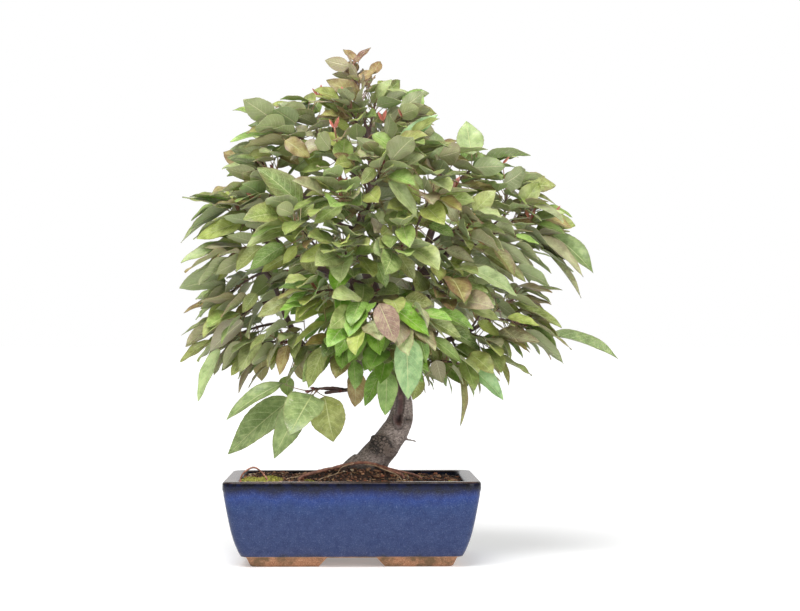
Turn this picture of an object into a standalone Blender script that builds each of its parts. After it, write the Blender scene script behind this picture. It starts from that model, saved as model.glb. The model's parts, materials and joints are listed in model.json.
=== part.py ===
"""Apple bonsai in a glazed rectangular pot.

The tree is laid out in its front view: places are pixels of an 800 x 611 view whose scale is
one millimetre a pixel at the pot's front rim, with a depth in millimetres behind the trunk.
Everything is then built in metres, with the pot centred on the origin, and moved at the end so
that the origin lies under the middle of the whole object.
"""

import math
import random
from types import SimpleNamespace

import bmesh
import bpy
from mathutils import Matrix, Vector
from mathutils.bvhtree import BVHTree

OBJECT_NAME = "apple_bonsai"
MM = 0.001
GAP = 0.3 * MM
UP = Vector((0, 0, 1))
TOWARD_VIEWER = Vector((0, -1, 0))

# Front view: viewing distance, eye height and the pixel that the eye looks along, in mm and pixels
EYE_DISTANCE = 2022.5
EYE_HEIGHT = 223
RIM_DISTANCE = 1925
VIEW_X, VIEW_Y = 352, 346

# Pot, in mm: half-sizes at the rim, then (height, inset) down its outside and inside
POT_HALF_X, POT_HALF_Y = 130, 97.5
POT_CORNER = 13
POT_OUTSIDE = ((0, 27), (9.5, 23), (10.5, 18.5), (16, 15), (28, 10.3), (52, 4.7), (74, 0.5), (84, 0), (87, 2))
POT_INSIDE = ((87, 12.5), (85.5, 14.5), (26, 21), (18, 29))
RIM_HEIGHT = 87
FLOOR_HEIGHT = 18
RECESS_HEIGHT = 8.5
RECESS_HALF_X, RECESS_HALF_Y = 86, 53
FRONT_ARCH = (25, 34.5)
SIDE_ARCH = (20, 27)
DRAIN_X = 55
DRAIN_RADIUS = 11
SCREEN_SIDE = 36
SCREEN_THICK = 1.6
SCREEN_SLOT = (24, 2.4)
SCREEN_SLOT_PITCH = 6

# Soil surface, in mm: general level, its fall to the right, and the mound round the trunk's foot
SOIL_LEVEL = 83
SOIL_FALL = 0.012
MOUND = (4, -6, 15, 33, 28)
SOIL_GRID = (11, 8)
MOSS = (-94, -40, 17, 13, 5.5)

# Trunk: x, y, z, radius in mm. It starts below the soil and leans right, then back over the pot
TRUNK = (
    (12, 0, 50, 20), (12, 0, 86, 20), (17, 0, 96, 18.5), (27, 0, 110, 16), (40, 0, 126, 15),
    (49, 0, 141, 13.5), (52.5, 0, 156, 12), (51, 0, 171, 10.5), (46, 1, 187, 9.5), (40, 3, 205, 9),
    (36, 4, 228, 8.3), (30, 4, 258, 7.5), (20, 3, 290, 6.8), (9, 1, 322, 6), (7, 0, 345, 5.5),
    (15, 0, 372, 4.8), (21, 0, 395, 4.2), (19, 0, 425, 3.5), (14, 0, 455, 2.6),
)
TRUNK_FOOT_ROWS = 4
CALLUS = (33, -12.5, 121, 8.5, 2.2)

# Branches: x, y, z in mm from the trunk's middle outwards, with the radius at each end
BRANCHES = {
    "low_left": (5.5, 2.2, ((43, 2, 196), (14, 5, 204), (-16, 8, 208), (-36, 10, 216), (-52, 10, 224),
                            (-66, 8, 246), (-82, 0, 288), (-95, -5, 305))),
    "low_left_shoot": (2.6, 1.7, ((45, -5, 187), (21, -25, 182), (-6, -40, 178), (-28, -50, 175))),
    "right_riser": (7, 2, ((39, 0, 217), (49.5, -8, 242), (62, -12, 268), (70.5, -12, 294),
                           (76, -10, 322), (85, -5, 347), (93.5, 0, 372), (100, 0, 395))),
    "right_reach": (4.5, 2, ((69, -12, 291), (86, -14, 303), (99, -14, 319), (116, -10, 334),
                             (140, -6, 341), (160, -4, 343))),
    "right_low": (4.2, 2, ((41, 4, 206), (66, -4, 217), (92, -10, 226), (119, -14, 237), (145, -18, 251))),
    "right_hang": (2.6, 1.9, ((44, -2, 193), (58, -15, 199), (72, -26, 204))),
    "left_mid": (3.6, 1.9, ((22, 3, 285), (-18, -8, 297), (-58, -20, 316), (-98, -26, 335))),
    "left_upper": (3.6, 1.9, ((7, 0, 343), (-17, -10, 352), (-37, -10, 372), (-60, -12, 385), (-85, -10, 395))),
    "left_top": (2.8, 1.7, ((20, 0, 393), (-2, 4, 408), (-23, 6, 424), (-49, 6, 439))),
    "right_top": (2.4, 1.8, ((19, 0, 427), (31, -3, 441))),
    "back_left": (3.6, 1.8, ((27, 4, 268), (0, 40, 285), (-34, 78, 303), (-62, 100, 318))),
    "back_right": (3.6, 1.8, ((34, 4, 238), (62, 40, 258), (88, 70, 283), (108, 90, 305))),
    "back_mid": (3.0, 1.7, ((9, 1, 330), (12, 40, 350), (16, 75, 372))),
    "back_top": (2.6, 1.6, ((21, 0, 397), (24, 30, 417), (24, 55, 436))),
    "front_left": (3.2, 2.0, ((29, 4, 262), (12, -36, 269), (-8, -64, 277))),
    "front_right": (3.0, 1.7, ((17, 2, 299), (38, -40, 308), (58, -70, 318))),
    "front_mid": (2.8, 1.6, ((8, 0, 350), (15, -35, 362), (20, -70, 372))),
    "front_low": (3.4, 1.7, ((37, 4, 222), (33, -35, 240), (26, -75, 252), (24, -100, 254))),
}

# Roots: radius, then x, y, z in mm. A root that goes down into the soil ends in an upright stretch
SURFACE_ROOTS = {
    "root_front": (1.6, ((53, -32, 76), (53, -32, 88), (46, -30, 92), (34, -26, 95.5), (24, -18.2, 99.8),
                         (12, -16, 101.6), (2, -15.5, 101), (-9, -22, 99), (-24, -30, 96), (-42, -36, 92),
                         (-54, -40, 87), (-54, -40, 76))),
    "root_side": (1.1, ((27, -12, 99), (38, -19, 96), (52, -20, 92.5), (66, -21, 89), (72, -21, 85), (72, -21, 76))),
}
ARCH_ROOT = (0.9, ((-113, -62, 76), (-113, -62, 88), (-110, -62, 94), (-104, -61, 98.5), (-99, -60, 99.5),
                   (-93, -59, 96), (-88, -58, 90), (-86, -58, 85), (-86, -58, 76)))
ROOT_ROOM = 0.8
WELD_DISTANCE = 0.00001

# Leafy sprays: name, branch it leaves, share along that branch, tip (pixel x, pixel y, depth),
# number of leaves in all, and the length in mm of the leaves that are set by rule
SPRAYS = (
    ("crown_left", "left_top", 0.95, (279, 131, -8), 6, 42),
    ("crown_left_back", "left_top", 0.70, (304, 108, 22), 5, 38),
    ("left_high", "left_upper", 0.98, (262, 162, 12), 5, 42),
    ("left_upper_front", "left_upper", 0.80, (259, 203, -38), 5, 45),
    ("left_wide", "left_mid", 0.98, (240, 214, -8), 6, 48),
    ("left_middle", "left_mid", 0.82, (240, 256, -22), 6, 46),
    ("left_tiers", "low_left", 0.97, (232, 292, 4), 6, 46),
    ("left_tiers_low", "low_left", 0.80, (237, 318, -16), 6, 46),
    ("left_skirt", "low_left", 0.66, (232, 337, 14), 5, 46),
    ("left_skirt_front", "low_left", 0.52, (256, 345, -16), 5, 44),
    ("left_low_hang", "low_left_shoot", 0.72, (309, 391, -62), 6, 58),
    ("left_low_front", "low_left", 0.38, (288, 342, -48), 6, 42),
    ("right_crown", "right_riser", 0.93, (439, 163, -6), 5, 40),
    ("right_crown_back", "right_riser", 0.90, (475, 166, 14), 5, 42),
    ("right_shoulder", "right_reach", 0.99, (507, 190, 2), 5, 42),
    ("right_shoulder_low", "right_reach", 0.96, (528, 212, -10), 6, 42),
    ("right_wide", "right_reach", 0.90, (538, 240, 8), 5, 46),
    ("right_middle", "right_reach", 0.73, (508, 252, -34), 6, 44),
    ("right_tiers", "right_low", 0.90, (512, 300, 6), 6, 44),
    ("right_long", "right_low", 0.99, (524, 325, -4), 6, 48),
    ("right_skirt", "right_low", 0.74, (487, 342, -30), 5, 44),
    ("right_hanging", "right_hang", 0.98, (462, 364, -56), 6, 44),
    ("apex", "trunk", 0.995, (352, 66, 0), 8, 24),
    ("apex_right", "trunk", 0.96, (376, 99, 8), 6, 32),
    ("crown_right", "right_top", 0.98, (404, 113, -6), 5, 34),
    ("crown_left_tip", "trunk", 0.93, (345, 101, -16), 6, 34),
    ("crown_middle", "right_top", 0.80, (404, 154, -34), 6, 40),
    ("crown_front", "front_mid", 0.96, (383, 164, -86), 7, 38),
    ("crown_front_left", "trunk", 0.86, (338, 150, -52), 7, 38),
    ("front_high_left", "front_mid", 0.80, (342, 198, -98), 6, 42),
    ("front_high_right", "front_right", 0.96, (432, 194, -86), 6, 40),
    ("front_left_side", "front_left", 0.94, (296, 224, -84), 7, 42),
    ("front_centre", "front_left", 0.80, (344, 246, -112), 6, 42),
    ("front_centre_right", "front_right", 0.80, (402, 246, -112), 6, 42),
    ("front_right_side", "right_riser", 0.62, (466, 228, -70), 7, 42),
    ("front_right_low", "right_riser", 0.48, (456, 290, -84), 6, 44),
    ("front_left_low", "front_left", 0.98, (318, 292, -96), 7, 44),
    ("front_low_left", "front_low", 0.90, (366, 316, -122), 6, 42),
    ("front_low_right", "front_low", 0.97, (404, 318, -124), 6, 42),
    ("front_hang_left", "front_low", 0.42, (344, 344, -78), 4, 40),
    ("front_hang_right", "front_low", 0.62, (391, 352, -92), 5, 40),
    ("back_left_high", "back_left", 0.97, (284, 215, 118), 6, 46),
    ("back_left_low", "back_left", 0.75, (286, 292, 100), 6, 46),
    ("back_right_high", "back_right", 0.97, (464, 224, 112), 6, 46),
    ("back_right_low", "back_right", 0.72, (466, 300, 96), 5, 46),
    ("back_middle", "back_mid", 0.97, (370, 206, 126), 6, 46),
    ("back_middle_low", "back_left", 0.45, (352, 292, 108), 5, 46),
    ("back_middle_right", "back_right", 0.48, (412, 290, 112), 6, 44),
    ("back_crown", "back_top", 0.97, (392, 142, 84), 6, 40),
    ("back_crown_left", "back_top", 0.60, (342, 150, 82), 6, 40),
)

# Leaves that show singly in the front view: base and tip pixels, depth in mm of the base, how
# far the face turns to the viewer in degrees (below 0 shows the underside), and width by length
FRONT_LEAVES = (
    (295, 105, 275, 108, 15, 30, .50), (297, 139, 248, 125, -10, 50, .48), (273, 133, 230, 142, 5, 18, .42),
    (293, 142, 244, 147, -18, -28, .42), (276, 148, 248, 161, 12, 30, .50), (254, 168, 222, 169, 12, 30, .46),
    (301, 205, 257, 168, -66, 65, .50), (298, 203, 264, 188, -52, 50, .48), (271, 181, 231, 205, -16, -50, .50),
    (234, 206, 181, 243, 2, 24, .36), (243, 222, 197, 239, -30, 55, .42), (232, 245, 181, 263, -14, 36, .38),
    (232, 250, 210, 261, 12, 35, .42), (236, 262, 194, 274, -8, 25, .40), (252, 249, 237, 268, -40, 70, .56),
    (273, 212, 296, 246, -88, 70, .58), (308, 250, 314, 274, -98, 80, .80), (297, 247, 283, 264, -84, 66, .56),
    (266, 233, 251, 244, -48, 60, .60),
    (233, 293, 196, 320, -6, 28, .34), (224, 300, 184, 313, 14, 32, .36), (241, 302, 210, 320, -22, -42, .42),
    (220, 321, 186, 347, 8, -50, .40), (211, 341, 181, 362, 16, 40, .38), (243, 321, 211, 351, -28, -56, .50),
    (220, 349, 199, 401, -12, 45, .30), (241, 341, 224, 369, -22, -46, .44), (256, 294, 243, 313, -46, 70, .58),
    (290, 300, 258, 317, -56, 50, .50), (328, 284, 279, 288, -98, 50, .40), (255, 362, 239, 393, -6, 28, .36),
    (267, 366, 249, 388, 14, 18, .36), (262, 356, 262, 381, 18, -72, .66), (283, 383, 227, 420, -52, 36, .34),
    (291, 399, 229, 454, -44, 62, .42), (308, 396, 274, 458, -76, 64, .46), (325, 396, 334, 441, -72, 76, .78),
    (288, 376, 288, 396, -22, 70, .80), (304, 407, 301, 424, -56, 70, .58), (288, 345, 280, 375, -60, 66, .48),
    (277, 346, 272, 370, -40, 60, .50), (297, 360, 304, 381, -14, -68, .54), (306, 348, 311, 380, -44, 60, .42),
    (326, 322, 292, 349, -98, 32, .34),
    (354, 63, 371, 47, 0, 40, .42), (351, 66, 336, 63, 3, 36, .48), (360, 80, 375, 68, -4, 50, .60),
    (361, 98, 326, 80, -14, 60, .54), (377, 98, 392, 79, -8, 52, .58), (407, 110, 422, 89, -6, 84, .82),
    (400, 150, 438, 114, -30, 52, .40), (438, 159, 434, 131, -10, 80, .72), (472, 154, 466, 121, 6, 84, .82),
    (476, 175, 482, 152, 0, 76, .62), (480, 155, 501, 180, 12, 40, .44), (436, 161, 406, 147, -16, 36, .44),
    (425, 182, 452, 197, -78, 56, .50), (389, 179, 418, 218, -98, 60, .38), (385, 161, 356, 137, -72, -68, .44),
    (372, 134, 401, 156, -44, 60, .48), (374, 168, 361, 184, -96, 80, .62), (342, 204, 314, 224, -100, 60, .56),
    (334, 249, 300, 262, -106, 60, .50), (342, 161, 345, 138, -62, 80, .80), (457, 221, 442, 198, -82, 70, .50),
    (475, 211, 496, 190, -62, 76, .68), (484, 244, 474, 213, -78, 78, .58),
    (364, 313, 336, 356, -126, 65, .44), (369, 324, 349, 363, -108, 60, .44), (374, 298, 393, 343, -142, -72, .60),
    (386, 303, 430, 337, -132, 56, .44), (406, 336, 408, 399, -136, 80, .48), (418, 334, 426, 363, -108, 56, .50),
    (371, 347, 370, 372, -100, 80, .70), (383, 368, 365, 406, -84, 66, .44), (386, 370, 385, 415, -100, 70, .48),
    (353, 360, 355, 390, -72, 66, .54), (421, 378, 413, 400, -64, 70, .60), (325, 347, 308, 388, -88, 62, .46),
    (431, 321, 461, 338, -116, 56, .46), (431, 338, 462, 363, -100, 50, .38), (446, 374, 452, 394, -68, 20, .36),
    (460, 376, 460, 426, -56, 42, .28), (436, 360, 442, 383, -62, -60, .58),
    (523, 205, 540, 182, -10, 70, .68), (503, 178, 530, 172, 6, 22, .34), (530, 193, 556, 204, 0, 32, .40),
    (547, 206, 573, 217, 10, 32, .40), (542, 217, 572, 228, -12, 40, .42), (539, 224, 566, 234, -28, 36, .40),
    (552, 234, 594, 273, 2, 50, .40), (541, 237, 584, 277, -22, 46, .34), (541, 245, 582, 298, 12, 36, .28),
    (516, 235, 539, 244, -42, 42, .40), (522, 293, 563, 290, 10, 22, .28), (511, 303, 562, 328, -12, 26, .32),
    (508, 317, 540, 326, -32, 46, .40), (527, 314, 558, 325, 16, 40, .38), (550, 335, 619, 359, 0, 32, .24),
    (524, 331, 564, 364, -16, -44, .34), (504, 337, 523, 358, -26, 42, .38), (492, 327, 508, 353, -36, 34, .38),
    (493, 354, 509, 386, -22, 28, .34), (463, 362, 503, 400, -62, 50, .40), (474, 270, 517, 296, -84, 52, .40),
    (493, 244, 530, 265, -52, -42, .42), (447, 294, 493, 306, -92, 50, .40), (437, 311, 473, 329, -106, 42, .40),
    (523, 258, 530, 283, -22, -52, .58), (494, 248, 515, 277, -46, 52, .40), (472, 369, 480, 394, -46, 24, .30),
)

# Leaf and twig sizes, in mm, and the leaf's outline as (share of length, share of half-width)
LEAF_THICK = 0.8
STALK_HALF_WIDTH = 0.45
STALK_SPACING = 1.6
STALK_REACH = 13
STALK_LIMIT = 38
CLEARANCE = 1.15
BLADE_OUTLINE = ((0.30, 0.93), (0.68, 0.80))
TWIG_RADII = (1.7, 1.0)
TWIG_SWELLS = (1.0, 1.1, 1.2, 1.3)
STUB_SHARE = 0.30
TWIG_KNOTS = (0, STUB_SHARE, 0.65, 1)
LEAF_TURN = math.radians(144)
FRONT_TRIES = 14
DRAWN_TRIES = 26
STALK_FIRST = 0.40
STALK_RUN = 0.58
STALK_STEPS = 24
LOWEST_LEAF = 102

COLOURS = {
    "glazed_pot": ((0.010, 0.030, 0.140), 0.16, 0.0),
    "soil_grit": ((0.055, 0.030, 0.018), 0.95, 0.0),
    "moss_green": ((0.190, 0.230, 0.020), 0.95, 0.0),
    "bark_grey": ((0.120, 0.098, 0.085), 0.85, 0.0),
    "root_brown": ((0.210, 0.090, 0.055), 0.80, 0.0),
    "drain_mesh": ((0.020, 0.022, 0.020), 0.55, 0.0),
    "leaf_olive": ((0.120, 0.190, 0.055), 0.42, 0.0),
    "leaf_bright": ((0.130, 0.300, 0.030), 0.38, 0.0),
    "leaf_bronze": ((0.165, 0.150, 0.080), 0.48, 0.0),
}
BRIGHT_SPRAYS = ("front_low_left", "front_low_right", "left_low_hang", "front_right_low", "front_left_low")
BRONZE_SPRAYS = ("apex", "left_wide", "right_shoulder_low", "left_tiers_low", "right_crown_back", "crown_left_back")


def mm(*values):
    """A vector in metres from values in millimetres."""
    return Vector(values) * MM


def seen(across, down, depth):
    """The point in metres behind a pixel of the front view, at a depth in mm behind the trunk."""
    scale = (EYE_DISTANCE + depth) / RIM_DISTANCE
    return mm((across - VIEW_X) * scale, depth, EYE_HEIGHT + (VIEW_Y - down) * scale)


def material(name):
    """The shared Principled material of that name, made on first use."""
    found = bpy.data.materials.get(name)
    if found:
        return found
    colour, roughness, metallic = COLOURS[name]
    made = bpy.data.materials.new(name)
    made.use_nodes = True
    shader = made.node_tree.nodes["Principled BSDF"]
    shader.inputs["Base Color"].default_value = (*colour, 1)
    shader.inputs["Roughness"].default_value = roughness
    shader.inputs["Metallic"].default_value = metallic
    made.diffuse_color = (*colour, 1)
    return made


def add_object(name, mesh, slot=None, collection=None):
    """Link a mesh or curve as an object, with its material where a slot is named."""
    thing = bpy.data.objects.new(name, mesh)
    (collection or bpy.context.scene.collection).objects.link(thing)
    if slot:
        mesh.materials.clear()
        mesh.materials.append(material(slot))
    return thing


def mesh_from(name, points, faces):
    """A mesh from points in metres and faces, with its normals made to agree."""
    mesh = bpy.data.meshes.new(name)
    mesh.from_pydata([tuple(point) for point in points], [], faces)
    shape = bmesh.new()
    shape.from_mesh(mesh)
    bmesh.ops.recalc_face_normals(shape, faces=shape.faces)
    shape.to_mesh(mesh)
    shape.free()
    return mesh


def is_one_body(shape):
    """Whether a mesh is closed everywhere and hangs together as a single body."""
    if not all(part.is_manifold for part in list(shape.edges) + list(shape.verts)):
        return False
    shape.verts.ensure_lookup_table()
    reached, waiting = {shape.verts[0]}, [shape.verts[0]]
    while waiting:
        vertex = waiting.pop()
        for edge in vertex.link_edges:
            other = edge.other_vert(vertex)
            if other not in reached:
                reached.add(other)
                waiting.append(other)
    return len(reached) == len(shape.verts)


def baked(thing):
    """The object's evaluated mesh as a new mesh, welded, and whether it is one closed body."""
    graph = bpy.context.evaluated_depsgraph_get()
    mesh = bpy.data.meshes.new_from_object(thing.evaluated_get(graph))
    shape = bmesh.new()
    shape.from_mesh(mesh)
    bmesh.ops.remove_doubles(shape, verts=shape.verts, dist=WELD_DISTANCE)
    whole = is_one_body(shape)
    shape.to_mesh(mesh)
    shape.free()
    return mesh, whole


def discard(things):
    for thing in things:
        bpy.data.objects.remove(thing, do_unlink=True)


def combine(base, others, operation="UNION"):
    """Join or cut base with the other objects in one Boolean; says whether that made one body."""
    group = bpy.data.collections.new("joining")
    bpy.context.scene.collection.children.link(group)
    for other in others:
        group.objects.link(other)
    change = base.modifiers.new("combine", "BOOLEAN")
    change.operation = operation
    change.operand_type = "COLLECTION"
    change.collection = group
    for solver in ("EXACT", "MANIFOLD"):
        change.solver = solver
        mesh, whole = baked(base)
        if whole:
            break
    base.modifiers.remove(change)
    base.data = mesh
    discard(others)
    bpy.data.collections.remove(group)
    return whole


def tube(name, path, resolution, slot=None):
    """A filled, capped tube along (point, radius in mm) pairs, as a mesh object."""
    curve = bpy.data.curves.new(name, "CURVE")
    curve.dimensions = "3D"
    curve.bevel_depth = MM
    curve.bevel_resolution = resolution
    curve.use_fill_caps = True
    spline = curve.splines.new("POLY")
    spline.points.add(len(path) - 1)
    for knot, (point, radius) in zip(spline.points, path):
        knot.co = (*point, 1)
        knot.radius = radius
    guide = add_object(name + "_guide", curve)
    mesh, _ = baked(guide)
    discard([guide])
    return add_object(name, mesh, slot)


def flowing(points, steps):
    """Points on a smooth curve through the given ones (any number of values each)."""
    result = []
    for index in range(len(points) - 1):
        before = points[max(index - 1, 0)]
        start, end = points[index], points[index + 1]
        after = points[min(index + 2, len(points) - 1)]
        for step in range(steps):
            share = step / steps
            result.append(tuple(
                0.5 * (2 * b + (c - a) * share + (2 * a - 5 * b + 4 * c - d) * share ** 2
                       + (3 * b - a - 3 * c + d) * share ** 3)
                for a, b, c, d in zip(before, start, end, after)))
    result.append(tuple(points[-1]))
    return result


def tapered(row, steps=1):
    """The path of a branch: (point, radius) pairs whose radius falls evenly to the tip."""
    first, last, places = row
    points = flowing(places, steps)
    count = len(points) - 1
    return [(mm(*place), first + (last - first) * index / count) for index, place in enumerate(points)]


def trunk_path(steps=1):
    return [(mm(*row[:3]), row[3]) for row in flowing(TRUNK, steps)]


def along(path, share):
    """The point and radius at a share of a path's length."""
    spans = [(b[0] - a[0]).length for a, b in zip(path, path[1:])]
    wanted = share * sum(spans)
    for (start, end), span in zip(zip(path, path[1:]), spans):
        if wanted <= span:
            part = wanted / span
            return start[0].lerp(end[0], part), start[1] + (end[1] - start[1]) * part
        wanted -= span
    return path[-1]


def limbs():
    """The paths of the trunk and of every branch, by name."""
    paths = {name: tapered(row) for name, row in BRANCHES.items()}
    paths["trunk"] = trunk_path()
    return paths


def bowed(start, bow, tip, share):
    """A point on a gentle bow from start to tip."""
    rest = 1 - share
    return start * rest * rest + bow * 2 * rest * share + tip * share * share


def twig_place(twig, share):
    """A point on a spray's twig, which runs straight between its knots."""
    for (low, a), (high, b) in zip(twig.knots, twig.knots[1:]):
        if share <= high:
            return a.lerp(b, (share - low) / (high - low))
    return twig.tip


def twig_run(twig, share):
    """The direction of the twig there."""
    step = 0.02
    return (twig_place(twig, min(share + step, 1)) - twig_place(twig, max(share - step, 0))).normalized()


def twig_path(twig, first, last, swell=1.0):
    """(point, radius) pairs along part of a twig."""
    shares = [first] + [share for share in TWIG_KNOTS if first < share < last] + [last]
    thick, thin = twig.radii
    return [(twig_place(twig, share), (thick + (thin - thick) * share) * swell) for share in shares]


def make_twigs(paths):
    """Every spray's twig, from its branch to its tip."""
    twigs = []
    for name, branch, share, tip, count, size in SPRAYS:
        start, radius = along(paths[branch], share)
        end = seen(*tip)
        reach = (end - start).length
        bow = (start + end) / 2 + UP * 0.12 * reach
        thick = min(TWIG_RADII[0], radius * 0.8)
        knots = [(part, bowed(start, bow, end, part)) for part in TWIG_KNOTS]
        twigs.append(SimpleNamespace(name=name, knots=knots, tip=end, reach=reach, taken=[],
                                     radii=(thick, TWIG_RADII[1]), count=count, size=size * MM))
    return twigs


def prism(path, grow=0.0, sides=6):
    """Points and faces of a plain tube round a path, for testing what a leaf would cross."""
    points, faces = [], []
    for index, (place, radius) in enumerate(path):
        ahead = path[min(index + 1, len(path) - 1)][0] - path[max(index - 1, 0)][0]
        turn = ahead.to_track_quat("Z", "Y")
        for side in range(sides):
            angle = 2 * math.pi * side / sides
            reach = radius * MM + grow
            points.append(place + turn @ Vector((math.cos(angle) * reach, math.sin(angle) * reach, 0)))
    for ring in range(len(path) - 1):
        for side in range(sides):
            a, b = ring * sides + side, ring * sides + (side + 1) % sides
            faces.append((a, b, b + sides, a + sides))
    return points, faces


def tree_of(points, faces):
    return BVHTree.FromPolygons([tuple(point) for point in points], faces)


def on_blade(leaf, share, across):
    """A point of the blade: its midrib is an arc, its halves fold up from it (across is -1 to 1)."""
    angle = leaf.bend * share
    run = leaf.length * math.sin(angle) / leaf.bend
    drop = leaf.length * (1 - math.cos(angle)) / leaf.bend
    up = leaf.normal * math.cos(angle) + leaf.heading * math.sin(angle)
    half = across * leaf.width / 2
    middle = leaf.base + leaf.heading * run - leaf.normal * drop
    return middle + leaf.side * half * math.cos(leaf.fold) + up * abs(half) * math.sin(leaf.fold)


def has_room(twig, share):
    """Whether a stalk can leave the twig there, clear of the stalks that already do."""
    return all(abs(share - other) * twig.reach > STALK_SPACING * MM for other in twig.taken)


def new_leaf(twig, share, base, tip, normal, ratio, bend, fold):
    """A leaf whose blade runs from base to tip, its upper face towards normal, stalked from the twig."""
    chord = tip - base
    reach = chord.length
    chord = chord.normalized()
    face = (normal - chord * normal.dot(chord)).normalized()
    half = bend / 2
    heading = chord * math.cos(half) + face * math.sin(half)
    upper = face * math.cos(half) - chord * math.sin(half)
    length = reach * half / math.sin(half)
    return SimpleNamespace(spray=twig.name, share=share, root=twig_place(twig, share), base=base,
                           heading=heading, normal=upper, side=heading.cross(upper), length=length,
                           width=length * ratio, bend=bend, fold=fold)


# Corners of a leaf's middle surface: stalk (0-3) and blade (2-8), which folds along a line to its tip
BLADE_FACES = ((2, 3, 8), (3, 5, 8), (5, 7, 8), (6, 4, 8), (4, 2, 8))
LEAF_FACES = ((0, 1, 3), (0, 3, 2)) + BLADE_FACES
LEAF_EDGE = (0, 1, 3, 5, 7, 8, 6, 4, 2)
BLADE_EDGE = LEAF_EDGE[2:]


def stalk_frame(leaf):
    """Across and upward directions of a leaf's stalk."""
    stalk = (leaf.base - leaf.root).normalized()
    wide = stalk.cross(leaf.normal)
    if wide.length < 0.3:
        wide = leaf.side - stalk * leaf.side.dot(stalk)
    wide.normalize()
    return wide, wide.cross(stalk)


def leaf_points(leaf):
    """The nine corners of a leaf's middle surface."""
    wide, _ = stalk_frame(leaf)
    half = wide * STALK_HALF_WIDTH * MM
    points = [leaf.root - half, leaf.root + half, leaf.base - half, leaf.base + half]
    for share, part in BLADE_OUTLINE:
        points += [on_blade(leaf, share, -part), on_blade(leaf, share, part)]
    points.append(on_blade(leaf, 1, 0))
    return points


def thick_shell(points, faces, edge, reach):
    """The closed skin that lies a distance off both sides of a leaf's middle surface."""
    normals = [Vector((0, 0, 0)) for _ in points]
    for a, b, c in faces:
        normal = (points[b] - points[a]).cross(points[c] - points[a])
        for corner in (a, b, c):
            normals[corner] += normal
    offsets = [normal.normalized() * reach for normal in normals]
    upper = [point + offset for point, offset in zip(points, offsets)]
    lower = [point - offset for point, offset in zip(points, offsets)]
    count = len(points)
    skin = list(faces) + [(c + count, b + count, a + count) for a, b, c in faces]
    for a, b in zip(edge, edge[1:] + edge[:1]):
        skin.append((a, b, b + count, a + count))
    return upper + lower, skin


class Crowd:
    """What stands already: wood, twigs and leaves, so that a new leaf can be set clear of them."""

    def __init__(self, paths, twigs):
        self.wood = [tree_of(*prism(path, 0.5 * MM)) for path in paths]
        self.twigs = {twig.name: tree_of(*prism(twig_path(twig, 0, 1), 0.5 * MM)) for twig in twigs}
        self.leaves = []

    def fits(self, leaf):
        points = leaf_points(leaf)
        if min(point.z for point in points) < LOWEST_LEAF * MM:
            return False
        whole = tree_of(*thick_shell(points, LEAF_FACES, LEAF_EDGE, CLEARANCE * MM))
        blade = tree_of(*thick_shell(points, BLADE_FACES, BLADE_EDGE, CLEARANCE * MM))
        if any(whole.overlap(wood) for wood in self.wood):
            return False
        for name, twig in self.twigs.items():
            if (blade if name == leaf.spray else whole).overlap(twig):
                return False
        middle = (points[0] + points[8]) / 2
        reach = (points[8] - points[0]).length
        for other in self.leaves:
            if (other.middle - middle).length > (other.reach + reach) * 0.6:
                continue
            if other.spray == leaf.spray:
                if blade.overlap(other.whole) or whole.overlap(other.blade):
                    return False
            elif whole.overlap(other.whole):
                return False
        return True

    def add(self, leaf):
        points = leaf_points(leaf)
        self.leaves.append(SimpleNamespace(
            spray=leaf.spray, middle=(points[0] + points[8]) / 2, reach=(points[8] - points[0]).length,
            whole=tree_of(points, LEAF_FACES), blade=tree_of(points, BLADE_FACES)))


def nearest_twig(twigs, place):
    """The distance to the nearest twig that still has room, that twig, and the share along it."""
    best = None
    for twig in twigs:
        if len(twig.taken) >= twig.count:
            continue
        for step in range(STALK_STEPS + 1):
            share = STALK_FIRST + STALK_RUN * step / STALK_STEPS
            distance = (twig_place(twig, share) - place).length
            if (best is None or distance < best[0]) and has_room(twig, share):
                best = (distance, twig, share)
    return best


def front_leaf(twigs, row, draw, attempt):
    """One leaf of the front view, or None where no twig is near enough to carry it."""
    x0, y0, x1, y1, depth, turn, ratio = row
    depth += draw.uniform(-1, 1) * 3 * attempt
    lean = draw.uniform(-6, 10)
    base = seen(x0, y0, depth)
    tip = seen(x1, y1, depth + lean)
    chord = (tip - base).normalized()
    found = nearest_twig(twigs, base - chord * STALK_REACH * MM)
    if found is None or found[0] > STALK_LIMIT * MM:
        return None
    _, twig, share = found
    if (base - twig_place(twig, share)).dot(chord) < 0:
        return None
    upward = (UP - chord * UP.dot(chord))
    if upward.length < 0.35:
        upward = Vector((math.copysign(1, base.x), 0.3, 0))
    upward = (upward - chord * upward.dot(chord)).normalized()
    facing = (TOWARD_VIEWER - chord * TOWARD_VIEWER.dot(chord)).normalized()
    angle = math.radians(turn + draw.uniform(-1, 1) * 2 * attempt)
    normal = upward * math.cos(angle) + facing * math.sin(angle)
    bend = math.radians(draw.uniform(28, 52))
    fold = math.radians(draw.uniform(8, 20))
    return new_leaf(twig, share, base, tip, normal, ratio, bend, fold)


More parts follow.
